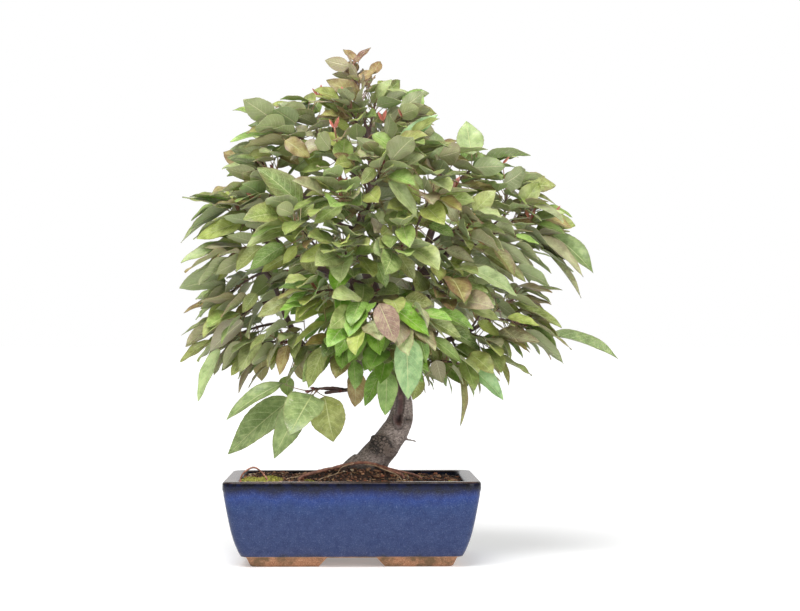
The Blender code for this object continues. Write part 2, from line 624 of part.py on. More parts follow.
def drawn_leaf(twig, index, draw, attempt):
    """One leaf by rule: leaves turn round the twig by two fifths of a circle and crowd at its tip."""
    wanted = STALK_FIRST + STALK_RUN * ((index + 0.5) / twig.count) ** 0.85 + draw.uniform(-0.02, 0.02)
    steps = [STALK_FIRST + STALK_RUN * step / STALK_STEPS for step in range(STALK_STEPS + 1)]
    free = [step for step in steps if has_room(twig, step)]
    share = min(free or steps, key=lambda step: abs(step - wanted))
    root = twig_place(twig, share)
    run = twig_run(twig, share)
    across = run.orthogonal().normalized()
    turn = index * LEAF_TURN + twig.phase + draw.uniform(-0.4, 0.4) * (1 + 0.35 * attempt)
    radial = Matrix.Rotation(turn, 3, run) @ across
    opening = math.radians(75 - 40 * share)
    stalk = (run * math.cos(opening) + radial * math.sin(opening) + UP * 0.30).normalized()
    outward = Vector((root.x - 0.012, root.y, 0)).normalized()
    level = Vector((stalk.x, stalk.y, 0)) + outward * 0.45
    level.normalize()
    height = root.z / MM
    rise = math.radians(-42 + (height - 180) * 0.20 + draw.uniform(-24, 24))
    chord = level * math.cos(rise) + UP * math.sin(rise)
    size = twig.size * draw.uniform(0.84, 1.20) * (1 - 0.015 * attempt)
    base = root + stalk * size * draw.uniform(0.26, 0.40)
    normal = UP + outward * 0.85 + Vector([draw.uniform(-0.45, 0.45) for _ in range(3)])
    normal = Matrix.Rotation(draw.uniform(-0.6, 0.6), 3, chord) @ normal
    bend = math.radians(draw.uniform(22, 55))
    fold = math.radians(draw.uniform(6, 22))
    return new_leaf(twig, share, base, base + chord * size, normal, draw.uniform(0.52, 0.64), bend, fold)


def lay_out_leaves(twigs, crowd):
    """All the leaves: first those that show singly in front, then the rest of each spray by rule."""
    named = {twig.name: twig for twig in twigs}
    leaves = []

    def set_first_that_fits(tries):
        for leaf in tries:
            if leaf and crowd.fits(leaf):
                crowd.add(leaf)
                named[leaf.spray].taken.append(leaf.share)
                leaves.append(leaf)
                return

    for number, row in enumerate(FRONT_LEAVES):
        draw = random.Random(1000 + number)
        set_first_that_fits(front_leaf(twigs, row, draw, attempt) for attempt in range(FRONT_TRIES))
    for number, twig in enumerate(twigs):
        draw = random.Random(5000 + number)
        twig.phase = draw.uniform(0, 2 * math.pi)
        for index in range(len(twig.taken), twig.count):
            set_first_that_fits(drawn_leaf(twig, index, draw, attempt) for attempt in range(DRAWN_TRIES))
    return leaves


def leaf_object(leaf, number):
    """One leaf as a thin solid, its blade in triangles that are alike on both faces."""
    _, stalk_up = stalk_frame(leaf)
    lifts = [stalk_up] * 4
    for share in (BLADE_OUTLINE[0][0], BLADE_OUTLINE[0][0], BLADE_OUTLINE[1][0], BLADE_OUTLINE[1][0], 1):
        angle = leaf.bend * share
        lifts.append(leaf.normal * math.cos(angle) + leaf.heading * math.sin(angle))
    half = LEAF_THICK * MM / 2
    middle = leaf_points(leaf)
    points = [point + lift * half for point, lift in zip(middle, lifts)]
    points += [point - lift * half for point, lift in zip(middle, lifts)]
    below = len(lifts)
    faces = list(LEAF_FACES)
    faces += [tuple(corner + below for corner in reversed(face)) for face in faces]
    for a, b in zip(LEAF_EDGE, LEAF_EDGE[1:] + LEAF_EDGE[:1]):
        faces.append((b, a, a + below, b + below))
    return add_object(f"leaf_{number}", mesh_from(f"leaf_{number}", points, faces))


def spray_slot(name):
    if name in BRIGHT_SPRAYS:
        return "leaf_bright"
    return "leaf_bronze" if name in BRONZE_SPRAYS else "leaf_olive"


def fused_spray(twig, leaves):
    """A spray's twig with its leaves fused on, as one body.

    Where the union leaves a stalk loose, the twig is made a little thicker, or else has a leaf less.
    """
    first = STUB_SHARE + 1.2 * GAP / twig.reach
    for count in range(len(leaves), 0, -1):
        for swell in TWIG_SWELLS:
            spray = tube("spray_" + twig.name, twig_path(twig, first, 1, swell), 0)
            if combine(spray, [leaf_object(leaf, number) for number, leaf in enumerate(leaves[:count])]):
                return spray
            discard([spray])
    return tube("spray_" + twig.name, twig_path(twig, first, 1), 0)


def build_sprays(collection, twigs, leaves):
    for twig in twigs:
        spray = fused_spray(twig, [leaf for leaf in leaves if leaf.spray == twig.name])
        finish_node(spray, spray_slot(twig.name), collection)


def root_path(row):
    radius, places = row
    return [(mm(*place), radius) for place in places]


def callus():
    """The ring of bark that has closed round an old pruning cut on the trunk's left flank."""
    x, y, z, ring, thick = CALLUS
    bpy.ops.mesh.primitive_torus_add(location=mm(x, y, z), major_radius=ring * MM, minor_radius=thick * MM,
                                     major_segments=10, minor_segments=5,
                                     rotation=(math.radians(78), 0, math.radians(-32)))
    return bpy.context.active_object


def build_wood(collection, paths, twigs):
    """The trunk with its branches, the stub of every twig, and its surface roots, grown as one."""
    wood = tube("trunk_and_branches", paths["trunk"], 3)
    grown = [tube(name, paths[name], 1 if row[0] > 4 else 0) for name, row in BRANCHES.items()]
    grown += [tube("stub", twig_path(twig, 0, STUB_SHARE), 0) for twig in twigs]
    grown += [tube(name, root_path(row), 0) for name, row in SURFACE_ROOTS.items()]
    grown.append(tube("snag", [(mm(56, 0, 126), 1.3), (mm(64, -1, 122.5), 1.0), (mm(70, -1, 121), 0.6)], 0))
    grown.append(callus())
    combine(wood, grown)
    finish_node(wood, "bark_grey", collection)


def finish_node(thing, slot, collection):
    """Give a node its one material and put it in the object's collection."""
    thing.data.materials.clear()
    thing.data.materials.append(material(slot))
    for face in thing.data.polygons:
        face.material_index = 0
    for holder in list(thing.users_collection):
        holder.objects.unlink(thing)
    collection.objects.link(thing)


def rounded_ring(inset, height, grow=0.0, steps=3):
    """One level of the pot: a rectangle with rounded corners, drawn in by the inset."""
    half_x, half_y = POT_HALF_X - inset + grow, POT_HALF_Y - inset + grow
    radius = max(5, POT_CORNER - 0.25 * inset)
    points = []
    for corner, (sx, sy) in enumerate(((1, 1), (-1, 1), (-1, -1), (1, -1))):
        for step in range(steps + 1):
            angle = (corner + step / steps) * math.pi / 2
            points.append(mm(sx * (half_x - radius) + radius * math.cos(angle),
                             sy * (half_y - radius) + radius * math.sin(angle), height))
    return points


def loft(name, rings):
    """A closed body through a run of rings with as many points each."""
    count = len(rings[0])
    points = [point for ring in rings for point in ring]
    faces = [tuple(reversed(range(count))), tuple(range(len(points) - count, len(points)))]
    for ring in range(len(rings) - 1):
        for side in range(count):
            a, b = ring * count + side, ring * count + (side + 1) % count
            faces.append((a, b, b + count, a + count))
    return add_object(name, mesh_from(name, points, faces))


def block(name, low, high):
    """A box between two corners in mm."""
    bpy.ops.mesh.primitive_cube_add(size=1, location=(mm(*low) + mm(*high)) / 2)
    thing = bpy.context.active_object
    thing.name = name
    thing.scale = mm(*high) - mm(*low)
    bpy.ops.object.transform_apply(location=False, rotation=False, scale=True)
    return thing


def cylinder(name, radius, low, high, x, y, sides=16):
    bpy.ops.mesh.primitive_cylinder_add(vertices=sides, radius=radius * MM, depth=(high - low) * MM,
                                        location=mm(x, y, (low + high) / 2))
    thing = bpy.context.active_object
    thing.name = name
    return thing


def arch(name, halves, length, along_x):
    """A cutter for the gap between two feet: narrower at the top, running right through."""
    top, bottom = halves
    low, high = -1, POT_OUTSIDE[1][0]
    outline = ((-bottom, low), (bottom, low), (top, high), (-top, high))
    points = []
    for end in (-length, length):
        points += [mm(end, a, z) if along_x else mm(a, end, z) for a, z in outline]
    faces = [(0, 1, 2, 3), (4, 5, 6, 7)] + [(k, (k + 1) % 4, (k + 1) % 4 + 4, k + 4) for k in range(4)]
    return add_object(name, mesh_from(name, points, faces))


def build_pot(collection):
    """The glazed pot: lipped rim, hollow inside, four corner feet and two drain holes."""
    rings = [rounded_ring(inset, height) for height, inset in POT_OUTSIDE + POT_INSIDE]
    pot = loft("pot", rings)
    cutters = [
        block("recess", (-RECESS_HALF_X, -RECESS_HALF_Y, -1), (RECESS_HALF_X, RECESS_HALF_Y, RECESS_HEIGHT)),
        arch("front_gap", FRONT_ARCH, POT_HALF_Y + 5, False),
        arch("side_gap", SIDE_ARCH, POT_HALF_X + 5, True),
    ]
    cutters += [cylinder("drain", DRAIN_RADIUS, -2, FLOOR_HEIGHT + 2, side * DRAIN_X, 0) for side in (-1, 1)]
    combine(pot, cutters, "DIFFERENCE")
    finish_node(pot, "glazed_pot", collection)
    pot.data.shade_smooth()
    pot.data.set_sharp_from_angle(angle=math.radians(35))


def soil_height(x, y):
    """Height in mm of the soil at a place in mm: level, low waves, and a mound at the trunk."""
    mx, my, rise, wide_x, wide_y = MOUND
    mound = rise * math.exp(-((x - mx) / wide_x) ** 2 / 2 - ((y - my) / wide_y) ** 2 / 2)
    waves = 0.9 * math.sin(x * 0.11 + y * 0.07) + 0.7 * math.sin(y * 0.13 - x * 0.05 + 1.3)
    return SOIL_LEVEL - SOIL_FALL * x + mound + waves


def height_field(name, cells, low):
    """A block whose top follows the soil's surface, wider than the pot's hollow."""
    nx, ny = cells
    half_x, half_y = POT_HALF_X, POT_HALF_Y
    points, faces = [], []
    for level in (0, 1):
        for j in range(ny + 1):
            for i in range(nx + 1):
                x, y = half_x * (2 * i / nx - 1), half_y * (2 * j / ny - 1)
                points.append(mm(x, y, soil_height(x, y) if level else low))
    row, sheet = nx + 1, (nx + 1) * (ny + 1)
    for j in range(ny):
        for i in range(nx):
            a = sheet + j * row + i
            faces += [(a, a + 1, a + row + 1), (a, a + row + 1, a + row)]
    faces.append(tuple(j * row for j in range(ny + 1)) + tuple(sheet + j * row for j in reversed(range(ny + 1))))
    faces.append(tuple(j * row + nx for j in range(ny + 1))
                 + tuple(sheet + j * row + nx for j in reversed(range(ny + 1))))
    faces.append(tuple(range(row)) + tuple(sheet + i for i in reversed(range(row))))
    last = ny * row
    faces.append(tuple(last + i for i in range(row)) + tuple(sheet + last + i for i in reversed(range(row))))
    edge = (list(range(row)) + [j * row + nx for j in range(1, ny + 1)]
            + [last + i for i in reversed(range(nx))] + [j * row for j in reversed(range(1, ny))])
    faces.append(tuple(edge))
    used = sorted({corner for face in faces for corner in face})
    place = {corner: index for index, corner in enumerate(used)}
    return add_object(name, mesh_from(name, [points[c] for c in used],
                                      [tuple(place[c] for c in face) for face in faces]))


def moss_cushion(name, grow=0.0):
    """A low cushion of moss on the soil, its edge waved; grow gives the bed that it sits in."""
    x, y, wide, deep, tall = MOSS
    sides = 9
    rings = []
    for share, height in ((1.0, -2.5), (1.0, 0.2), (0.80, 0.62), (0.42, 0.92)):
        ring = []
        for side in range(sides):
            angle = 2 * math.pi * side / sides
            wave = 1 + 0.13 * math.sin(3 * angle + x) + 0.07 * math.sin(5 * angle)
            px = x + math.cos(angle) * (wide * share * wave + grow)
            py = y + math.sin(angle) * (deep * share * wave + grow)
            lift = height * tall if height > 0 else height
            ring.append(mm(px, py, SOIL_LEVEL - SOIL_FALL * x + lift + (grow if height > 0 else -grow)))
        rings.append(ring)
    return loft(name, rings)


def root_beds(row, buried):
    """Cutters for a root's plain upright holes at its buried ends, and the bed that it lies in."""
    radius, places = row
    beds = [cylinder("root_hole", radius + ROOT_ROOM, places[end][2] - 0.5, 120, *places[end][:2], 8)
            for end in buried]
    middle = [(mm(*place), radius + ROOT_ROOM) for place in places[1:-1]]
    beds.append(tube("root_bed", middle, 0))
    return beds


def build_soil(collection):
    """The soil fills the hollow, with a hole for the trunk and beds for roots, moss and screens."""
    inside = [rounded_ring(inset, height, -0.3) for height, inset in reversed(POT_INSIDE[1:])]
    inside[0] = rounded_ring(POT_INSIDE[-1][1], FLOOR_HEIGHT + 0.3, -0.3)
    inside.append(rounded_ring(POT_INSIDE[1][1], RIM_HEIGHT + 30, -0.3))
    soil = loft("soil", inside)
    combine(soil, [height_field("surface", SOIL_GRID, 5)], "INTERSECT")
    foot = [(place, radius + ROOT_ROOM) for place, radius in trunk_path()[:TRUNK_FOOT_ROWS]]
    foot[0] = (foot[0][0] - UP * GAP, foot[0][1])
    beds = [tube("trunk_hole", foot, 3)]
    beds += root_beds(SURFACE_ROOTS["root_front"], (0, -1)) + root_beds(SURFACE_ROOTS["root_side"], (-1,))
    beds += root_beds(ARCH_ROOT, (0, -1))
    beds.append(moss_cushion("moss_bed", 0.3))
    half = SCREEN_SIDE / 2 + 0.3
    for side in (-1, 1):
        beds.append(block("screen_bed", (side * DRAIN_X - half, -half, FLOOR_HEIGHT - 1),
                          (side * DRAIN_X + half, half, FLOOR_HEIGHT + SCREEN_THICK + 0.6)))
    combine(soil, beds, "DIFFERENCE")
    finish_node(soil, "soil_grit", collection)


def build_screens(collection):
    """A slotted plastic screen over each drain hole, which keeps the soil in."""
    half = SCREEN_SIDE / 2
    low, high = FLOOR_HEIGHT + 0.3, FLOOR_HEIGHT + 0.3 + SCREEN_THICK
    long_half, slot_half = SCREEN_SLOT[0] / 2, SCREEN_SLOT[1] / 2
    for side, name in ((-1, "drain_screen_left"), (1, "drain_screen_right")):
        x = side * DRAIN_X
        screen = block(name, (x - half, -half, low), (x + half, half, high))
        slots = []
        for step in (-1.5, -0.5, 0.5, 1.5):
            y = step * SCREEN_SLOT_PITCH
            slots.append(block("slot", (x - long_half, y - slot_half, low - 1), (x + long_half, y + slot_half, high + 1)))
        combine(screen, slots, "DIFFERENCE")
        finish_node(screen, "drain_mesh", collection)


def centre_on_origin(collection):
    """Move everything so that the origin lies under the middle of the whole object."""
    graph = bpy.context.evaluated_depsgraph_get()
    graph.update()
    corners = [thing.matrix_world @ vertex.co for thing in collection.objects for vertex in thing.data.vertices]
    shift = Vector([-(min(c[axis] for c in corners) + max(c[axis] for c in corners)) / 2 for axis in (0, 1)]
                   + [-min(c.z for c in corners)])
    for thing in collection.objects:
        thing.data.transform(Matrix.Translation(shift) @ thing.matrix_world)
        thing.matrix_world = Matrix.Identity(4)


def main():
    for thing in list(bpy.data.objects):
        bpy.data.objects.remove(thing, do_unlink=True)
    collection = bpy.data.collections.new(OBJECT_NAME)
    bpy.context.scene.collection.children.link(collection)
    paths = limbs()
    twigs = make_twigs(paths)
    crowd = Crowd(list(paths.values()), twigs)
    leaves = lay_out_leaves(twigs, crowd)
    build_pot(collection)
    build_soil(collection)
    build_screens(collection)
    finish_node(moss_cushion("moss_cushion"), "moss_green", collection)
    build_wood(collection, paths, twigs)
    finish_node(tube("root_arch", root_path(ARCH_ROOT), 1), "root_brown", collection)
    build_sprays(collection, twigs, leaves)
    centre_on_origin(collection)
    return twigs, leaves


if __name__ == "__main__":
    main()
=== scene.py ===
"""The look of an apple bonsai in a glazed pot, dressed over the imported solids.

Leaves, twigs, trunk and pot are laid out by the same values and rules as the solids: places are
pixels of an 800 x 611 front view at one millimetre a pixel at the pot's front rim, with a depth in
millimetres behind the trunk. Everything is built round the pot's middle and moved onto the frame.
"""

import json
import math
import random
import sys
from types import SimpleNamespace

import bmesh
import bpy
import numpy as np
from mathutils import Matrix, Vector, noise
from mathutils.bvhtree import BVHTree


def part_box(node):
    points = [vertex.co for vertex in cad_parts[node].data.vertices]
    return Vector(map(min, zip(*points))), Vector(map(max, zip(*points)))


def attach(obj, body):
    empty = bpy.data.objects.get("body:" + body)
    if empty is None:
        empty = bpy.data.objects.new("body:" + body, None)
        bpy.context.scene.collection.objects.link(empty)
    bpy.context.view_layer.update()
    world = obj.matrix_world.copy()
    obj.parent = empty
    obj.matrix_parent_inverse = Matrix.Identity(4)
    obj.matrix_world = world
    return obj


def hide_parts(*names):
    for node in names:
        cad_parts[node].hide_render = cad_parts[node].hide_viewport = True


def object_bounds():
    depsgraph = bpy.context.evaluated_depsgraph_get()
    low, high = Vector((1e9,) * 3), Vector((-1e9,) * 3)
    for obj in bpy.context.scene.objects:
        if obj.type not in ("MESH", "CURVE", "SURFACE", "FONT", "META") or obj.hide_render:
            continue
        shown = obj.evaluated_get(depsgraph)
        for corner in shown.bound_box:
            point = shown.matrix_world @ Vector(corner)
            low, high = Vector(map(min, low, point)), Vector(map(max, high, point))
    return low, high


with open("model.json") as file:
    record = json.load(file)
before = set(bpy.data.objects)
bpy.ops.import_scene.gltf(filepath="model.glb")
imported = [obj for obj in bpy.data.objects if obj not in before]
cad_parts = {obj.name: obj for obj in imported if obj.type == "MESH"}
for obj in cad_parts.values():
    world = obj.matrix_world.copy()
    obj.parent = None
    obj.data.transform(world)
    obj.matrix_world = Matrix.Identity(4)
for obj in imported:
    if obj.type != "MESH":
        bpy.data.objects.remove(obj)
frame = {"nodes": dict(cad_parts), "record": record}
CAD_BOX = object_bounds()
POT_LOW, POT_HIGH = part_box("pot")
SHIFT = Vector(((POT_LOW[0] + POT_HIGH[0]) / 2, (POT_LOW[1] + POT_HIGH[1]) / 2, 0))

MM = 0.001
UP = Vector((0, 0, 1))
TOWARD_VIEWER = Vector((0, -1, 0))

# Front view: viewing distance, eye height and the pixel that the eye looks along, in mm and pixels
EYE_DISTANCE = 2022.5
EYE_HEIGHT = 223
RIM_DISTANCE = 1925
VIEW_X, VIEW_Y = 352, 346

# Pot, in mm: half-sizes at the rim, then (height, inset) down its outside and inside
POT_HALF_X, POT_HALF_Y = 130, 97.5
POT_CORNER = 13
POT_PROFILE = (
    (0, 28.5), (0.6, 27.4), (1.5, 26.8), (8.6, 23.4), (9.6, 22.6), (10.2, 19.6), (10.8, 18.0), (12.4, 16.9),
    (16, 15.0), (22, 12.6), (28, 10.4), (36, 8.2), (46, 6.0), (56, 4.1), (66, 2.3), (73, 1.1), (76, 0.9),
    (77.5, 0.4), (79, 0.0), (84.2, 0.0), (85.6, 0.3), (86.6, 1.1), (87, 2.4), (87, 11.2), (86.6, 12.5),
    (85.4, 14.0), (83, 15.2), (26, 21), (18, 29),
)
CORNER_CUTS, SIDE_CUTS = 8, 10
GLAZE_LINE = 10.6
FOOT_TOP = 9.5
FLOOR_HEIGHT = 18
RECESS_HEIGHT = 8.5
RECESS_HALF_X, RECESS_HALF_Y = 86, 53
FRONT_ARCH = (25, 34.5)
SIDE_ARCH = (20, 27)
DRAIN_X = 55
DRAIN_RADIUS = 11

# Soil surface, in mm: general level, its fall to the right, and the mound round the trunk's foot
SOIL_LEVEL = 83
SOIL_FALL = 0.012
MOUND = (4, -6, 15, 33, 28)
SOIL_FOOT = ((18.5, 29.3), (26, 21.6), (72, 17.1))
SOIL_EDGE = 15.6
SOIL_RINGS = 44

# What lies on the soil: half-sizes of the field, its rounded corners, the space kept round the trunk
GRAINS = 2900
GRAIN_SHARES = {"fired_clay": 5, "bark_chip": 6, "dark_crumb": 9, "pumice": 1.2, "red_clay": 3}
GRAIN_FIELD = (114, 81.5)
FIELD_CORNER = (104, 71, 10)
TRUNK_GAP = 15
CHIP_SHARE = 0.06
LITTER = 90
LITTER_FIELD = (105, 74)
LITTER_GAP = 22
MOSS_PATCHES = ((-97, -58, 17, 12), (-86, -44, 15, 12), (-104, -36, 9, 10), (86, -66, 5, 4), (100, -58, 3, 3),
                (-43, -62, 5, 4), (60, 52, 16, 9))
MOSS_TUFTS = 2.6
MOSS_RIM = 1.5

# Trunk: x, y, z, radius in mm. It starts below the soil and leans right, then back over the pot
TRUNK = (
    (12, 0, 50, 20), (12, 0, 86, 20), (17, 0, 96, 18.5), (27, 0, 110, 16), (40, 0, 126, 15),
    (49, 0, 141, 13.5), (52.5, 0, 156, 12), (51, 0, 171, 10.5), (46, 1, 187, 9.5), (40, 3, 205, 9),
    (36, 4, 228, 8.3), (30, 4, 258, 7.5), (20, 3, 290, 6.8), (9, 1, 322, 6), (7, 0, 345, 5.5),
    (15, 0, 372, 4.8), (21, 0, 395, 4.2), (19, 0, 425, 3.5), (14, 0, 455, 2.6),
)
TRUNK_X = 12
DEAD_STUB = ((52, 0, 126.5, 1.7), (60, -1, 124.5, 1.15), (64, -1.5, 123.8, 0.95), (67.5, -1.5, 122.8, 0.7))
ROOT_FLARES = (
    ((8, -3, 101, 11), (-6, -8, 94, 7), (-18, -14, 88, 4), (-28, -20, 80, 2.2)),
    ((18, -8, 97, 8), (28, -15, 90, 5.5), (38, -24, 83, 3.2), (44, -30, 76, 2)),
    ((6, 8, 96, 8), (-10, 17, 88, 5), (-22, 25, 80, 3)),
)

# Marks on the trunk's bark, in mm: x, y, z and size of the pruning scar, of the lump on it, of the knot
# and of the hollow, then the smooth seam as (height, x) with its half-width and its lower and upper end
SCAR = (30, -13, 119.5, 11.5)
SCAR_FACING = Vector((-0.52, -0.83, 0.16)).normalized()
SCAR_LUMP = (22.5, -7, 127, 3.4)
KNOT = (58, -10, 146, 3.4)
HOLLOW = (48.5, -12, 147, 2.4, 4.2)
SEAM = ((135, 47), (146, 48), (158, 50.5), (169, 51), (190, 48.5), (205, 43), (222, 38))
SEAM_HALF = 3.7
SEAM_ENDS = (146, 222)

# How fine the wood's skin is and how high its foot is darker, in mm
WOOD_VOXEL = 1.0
DARK_FOOT_TOP = 101.5

# Branches: x, y, z in mm from the trunk's middle outwards, with the radius at each end
BRANCHES = {
    "low_left": (5.5, 2.2, ((43, 2, 196), (14, 5, 204), (-16, 8, 208), (-36, 10, 216), (-52, 10, 224),
                            (-66, 8, 246), (-82, 0, 288), (-95, -5, 305))),
    "low_left_shoot": (2.6, 1.7, ((45, -5, 187), (21, -25, 182), (-6, -40, 178), (-28, -50, 175))),
    "right_riser": (7, 2, ((39, 0, 217), (49.5, -8, 242), (62, -12, 268), (70.5, -12, 294),
                           (76, -10, 322), (85, -5, 347), (93.5, 0, 372), (100, 0, 395))),
    "right_reach": (4.5, 2, ((69, -12, 291), (86, -14, 303), (99, -14, 319), (116, -10, 334),
                             (140, -6, 341), (160, -4, 343))),
    "right_low": (4.2, 2, ((41, 4, 206), (66, -4, 217), (92, -10, 226), (119, -14, 237), (145, -18, 251))),
    "right_hang": (2.6, 1.9, ((44, -2, 193), (58, -15, 199), (72, -26, 204))),
    "left_mid": (3.6, 1.9, ((22, 3, 285), (-18, -8, 297), (-58, -20, 316), (-98, -26, 335))),
    "left_upper": (3.6, 1.9, ((7, 0, 343), (-17, -10, 352), (-37, -10, 372), (-60, -12, 385), (-85, -10, 395))),
    "left_top": (2.8, 1.7, ((20, 0, 393), (-2, 4, 408), (-23, 6, 424), (-49, 6, 439))),
    "right_top": (2.4, 1.8, ((19, 0, 427), (31, -3, 441))),
    "back_left": (3.6, 1.8, ((27, 4, 268), (0, 40, 285), (-34, 78, 303), (-62, 100, 318))),
    "back_right": (3.6, 1.8, ((34, 4, 238), (62, 40, 258), (88, 70, 283), (108, 90, 305))),
    "back_mid": (3.0, 1.7, ((9, 1, 330), (12, 40, 350), (16, 75, 372))),
    "back_top": (2.6, 1.6, ((21, 0, 397), (24, 30, 417), (24, 55, 436))),
    "front_left": (3.2, 2.0, ((29, 4, 262), (12, -36, 269), (-8, -64, 277))),
    "front_right": (3.0, 1.7, ((17, 2, 299), (38, -40, 308), (58, -70, 318))),
    "front_mid": (2.8, 1.6, ((8, 0, 350), (15, -35, 362), (20, -70, 372))),
    "front_low": (3.4, 1.7, ((37, 4, 222), (33, -35, 240), (26, -75, 252), (24, -100, 254))),
}

# Roots: radius, then x, y, z in mm. A root that goes down into the soil ends in an upright stretch
SURFACE_ROOTS = (
    (1.6, ((53, -32, 76), (53, -32, 88), (46, -30, 92), (34, -26, 95.5), (24, -18.2, 99.8),
                         (12, -16, 101.6), (2, -15.5, 101), (-9, -22, 99), (-24, -30, 96), (-42, -36, 92),
                         (-54, -40, 87), (-54, -40, 76))),
    (1.1, ((27, -12, 99), (38, -19, 96), (52, -20, 92.5), (66, -21, 89), (72, -21, 85), (72, -21, 76))),
)
FINE_ROOTS = (
    (0.55, ((14, -20, 100), (24, -27, 99), (36, -33, 94.5), (47, -40, 90), (52, -46, 84))),
    (0.45, ((2, -18, 101), (-10, -30, 98), (-16, -42, 92), (-30, -50, 88), (-38, -52, 83))),
    (0.45, ((-20, -30, 97), (-36, -30, 94), (-52, -34, 89), (-66, -42, 87), (-72, -44, 81))),
)
ARCH_ROOT = (0.9, ((-113, -62, 76), (-113, -62, 88), (-110, -62, 94), (-104, -61, 98.5), (-99, -60, 99.5),
                   (-93, -59, 96), (-88, -58, 90), (-86, -58, 85), (-86, -58, 76)))

# Leafy sprays: name, branch it leaves, share along that branch, tip (pixel x, pixel y, depth),
# number of leaves in all, and the length in mm of the leaves that are set by rule
SPRAYS = (
    ("crown_left", "left_top", 0.95, (279, 131, -8), 6, 42),
    ("crown_left_back", "left_top", 0.70, (304, 108, 22), 5, 38),
    ("left_high", "left_upper", 0.98, (262, 162, 12), 5, 42),
    ("left_upper_front", "left_upper", 0.80, (259, 203, -38), 5, 45),
    ("left_wide", "left_mid", 0.98, (240, 214, -8), 6, 48),
    ("left_middle", "left_mid", 0.82, (240, 256, -22), 6, 46),
    ("left_tiers", "low_left", 0.97, (232, 292, 4), 6, 46),
    ("left_tiers_low", "low_left", 0.80, (237, 318, -16), 6, 46),
    ("left_skirt", "low_left", 0.66, (232, 337, 14), 5, 46),
    ("left_skirt_front", "low_left", 0.52, (256, 345, -16), 5, 44),
    ("left_low_hang", "low_left_shoot", 0.72, (309, 391, -62), 6, 58),
    ("left_low_front", "low_left", 0.38, (288, 342, -48), 6, 42),
    ("right_crown", "right_riser", 0.93, (439, 163, -6), 5, 40),
    ("right_crown_back", "right_riser", 0.90, (475, 166, 14), 5, 42),
    ("right_shoulder", "right_reach", 0.99, (507, 190, 2), 5, 42),
    ("right_shoulder_low", "right_reach", 0.96, (528, 212, -10), 6, 42),
    ("right_wide", "right_reach", 0.90, (538, 240, 8), 5, 46),
    ("right_middle", "right_reach", 0.73, (508, 252, -34), 6, 44),
    ("right_tiers", "right_low", 0.90, (512, 300, 6), 6, 44),
    ("right_long", "right_low", 0.99, (524, 325, -4), 6, 48),
    ("right_skirt", "right_low", 0.74, (487, 342, -30), 5, 44),
    ("right_hanging", "right_hang", 0.98, (462, 364, -56), 6, 44),
    ("apex", "trunk", 0.995, (352, 66, 0), 8, 24),
    ("apex_right", "trunk", 0.96, (376, 99, 8), 6, 32),
    ("crown_right", "right_top", 0.98, (404, 113, -6), 5, 34),
    ("crown_left_tip", "trunk", 0.93, (345, 101, -16), 6, 34),
    ("crown_middle", "right_top", 0.80, (404, 154, -34), 6, 40),
    ("crown_front", "front_mid", 0.96, (383, 164, -86), 7, 38),
    ("crown_front_left", "trunk", 0.86, (338, 150, -52), 7, 38),
    ("front_high_left", "front_mid", 0.80, (342, 198, -98), 6, 42),
    ("front_high_right", "front_right", 0.96, (432, 194, -86), 6, 40),
    ("front_left_side", "front_left", 0.94, (296, 224, -84), 7, 42),
    ("front_centre", "front_left", 0.80, (344, 246, -112), 6, 42),
    ("front_centre_right", "front_right", 0.80, (402, 246, -112), 6, 42),
    ("front_right_side", "right_riser", 0.62, (466, 228, -70), 7, 42),
    ("front_right_low", "right_riser", 0.48, (456, 290, -84), 6, 44),
    ("front_left_low", "front_left", 0.98, (318, 292, -96), 7, 44),
    ("front_low_left", "front_low", 0.90, (366, 316, -122), 6, 42),
    ("front_low_right", "front_low", 0.97, (404, 318, -124), 6, 42),
    ("front_hang_left", "front_low", 0.42, (344, 344, -78), 4, 40),
    ("front_hang_right", "front_low", 0.62, (391, 352, -92), 5, 40),
    ("back_left_high", "back_left", 0.97, (284, 215, 118), 6, 46),
    ("back_left_low", "back_left", 0.75, (286, 292, 100), 6, 46),
    ("back_right_high", "back_right", 0.97, (464, 224, 112), 6, 46),
    ("back_right_low", "back_right", 0.72, (466, 300, 96), 5, 46),
    ("back_middle", "back_mid", 0.97, (370, 206, 126), 6, 46),
    ("back_middle_low", "back_left", 0.45, (352, 292, 108), 5, 46),
    ("back_middle_right", "back_right", 0.48, (412, 290, 112), 6, 44),
    ("back_crown", "back_top", 0.97, (392, 142, 84), 6, 40),
    ("back_crown_left", "back_top", 0.60, (342, 150, 82), 6, 40),
)

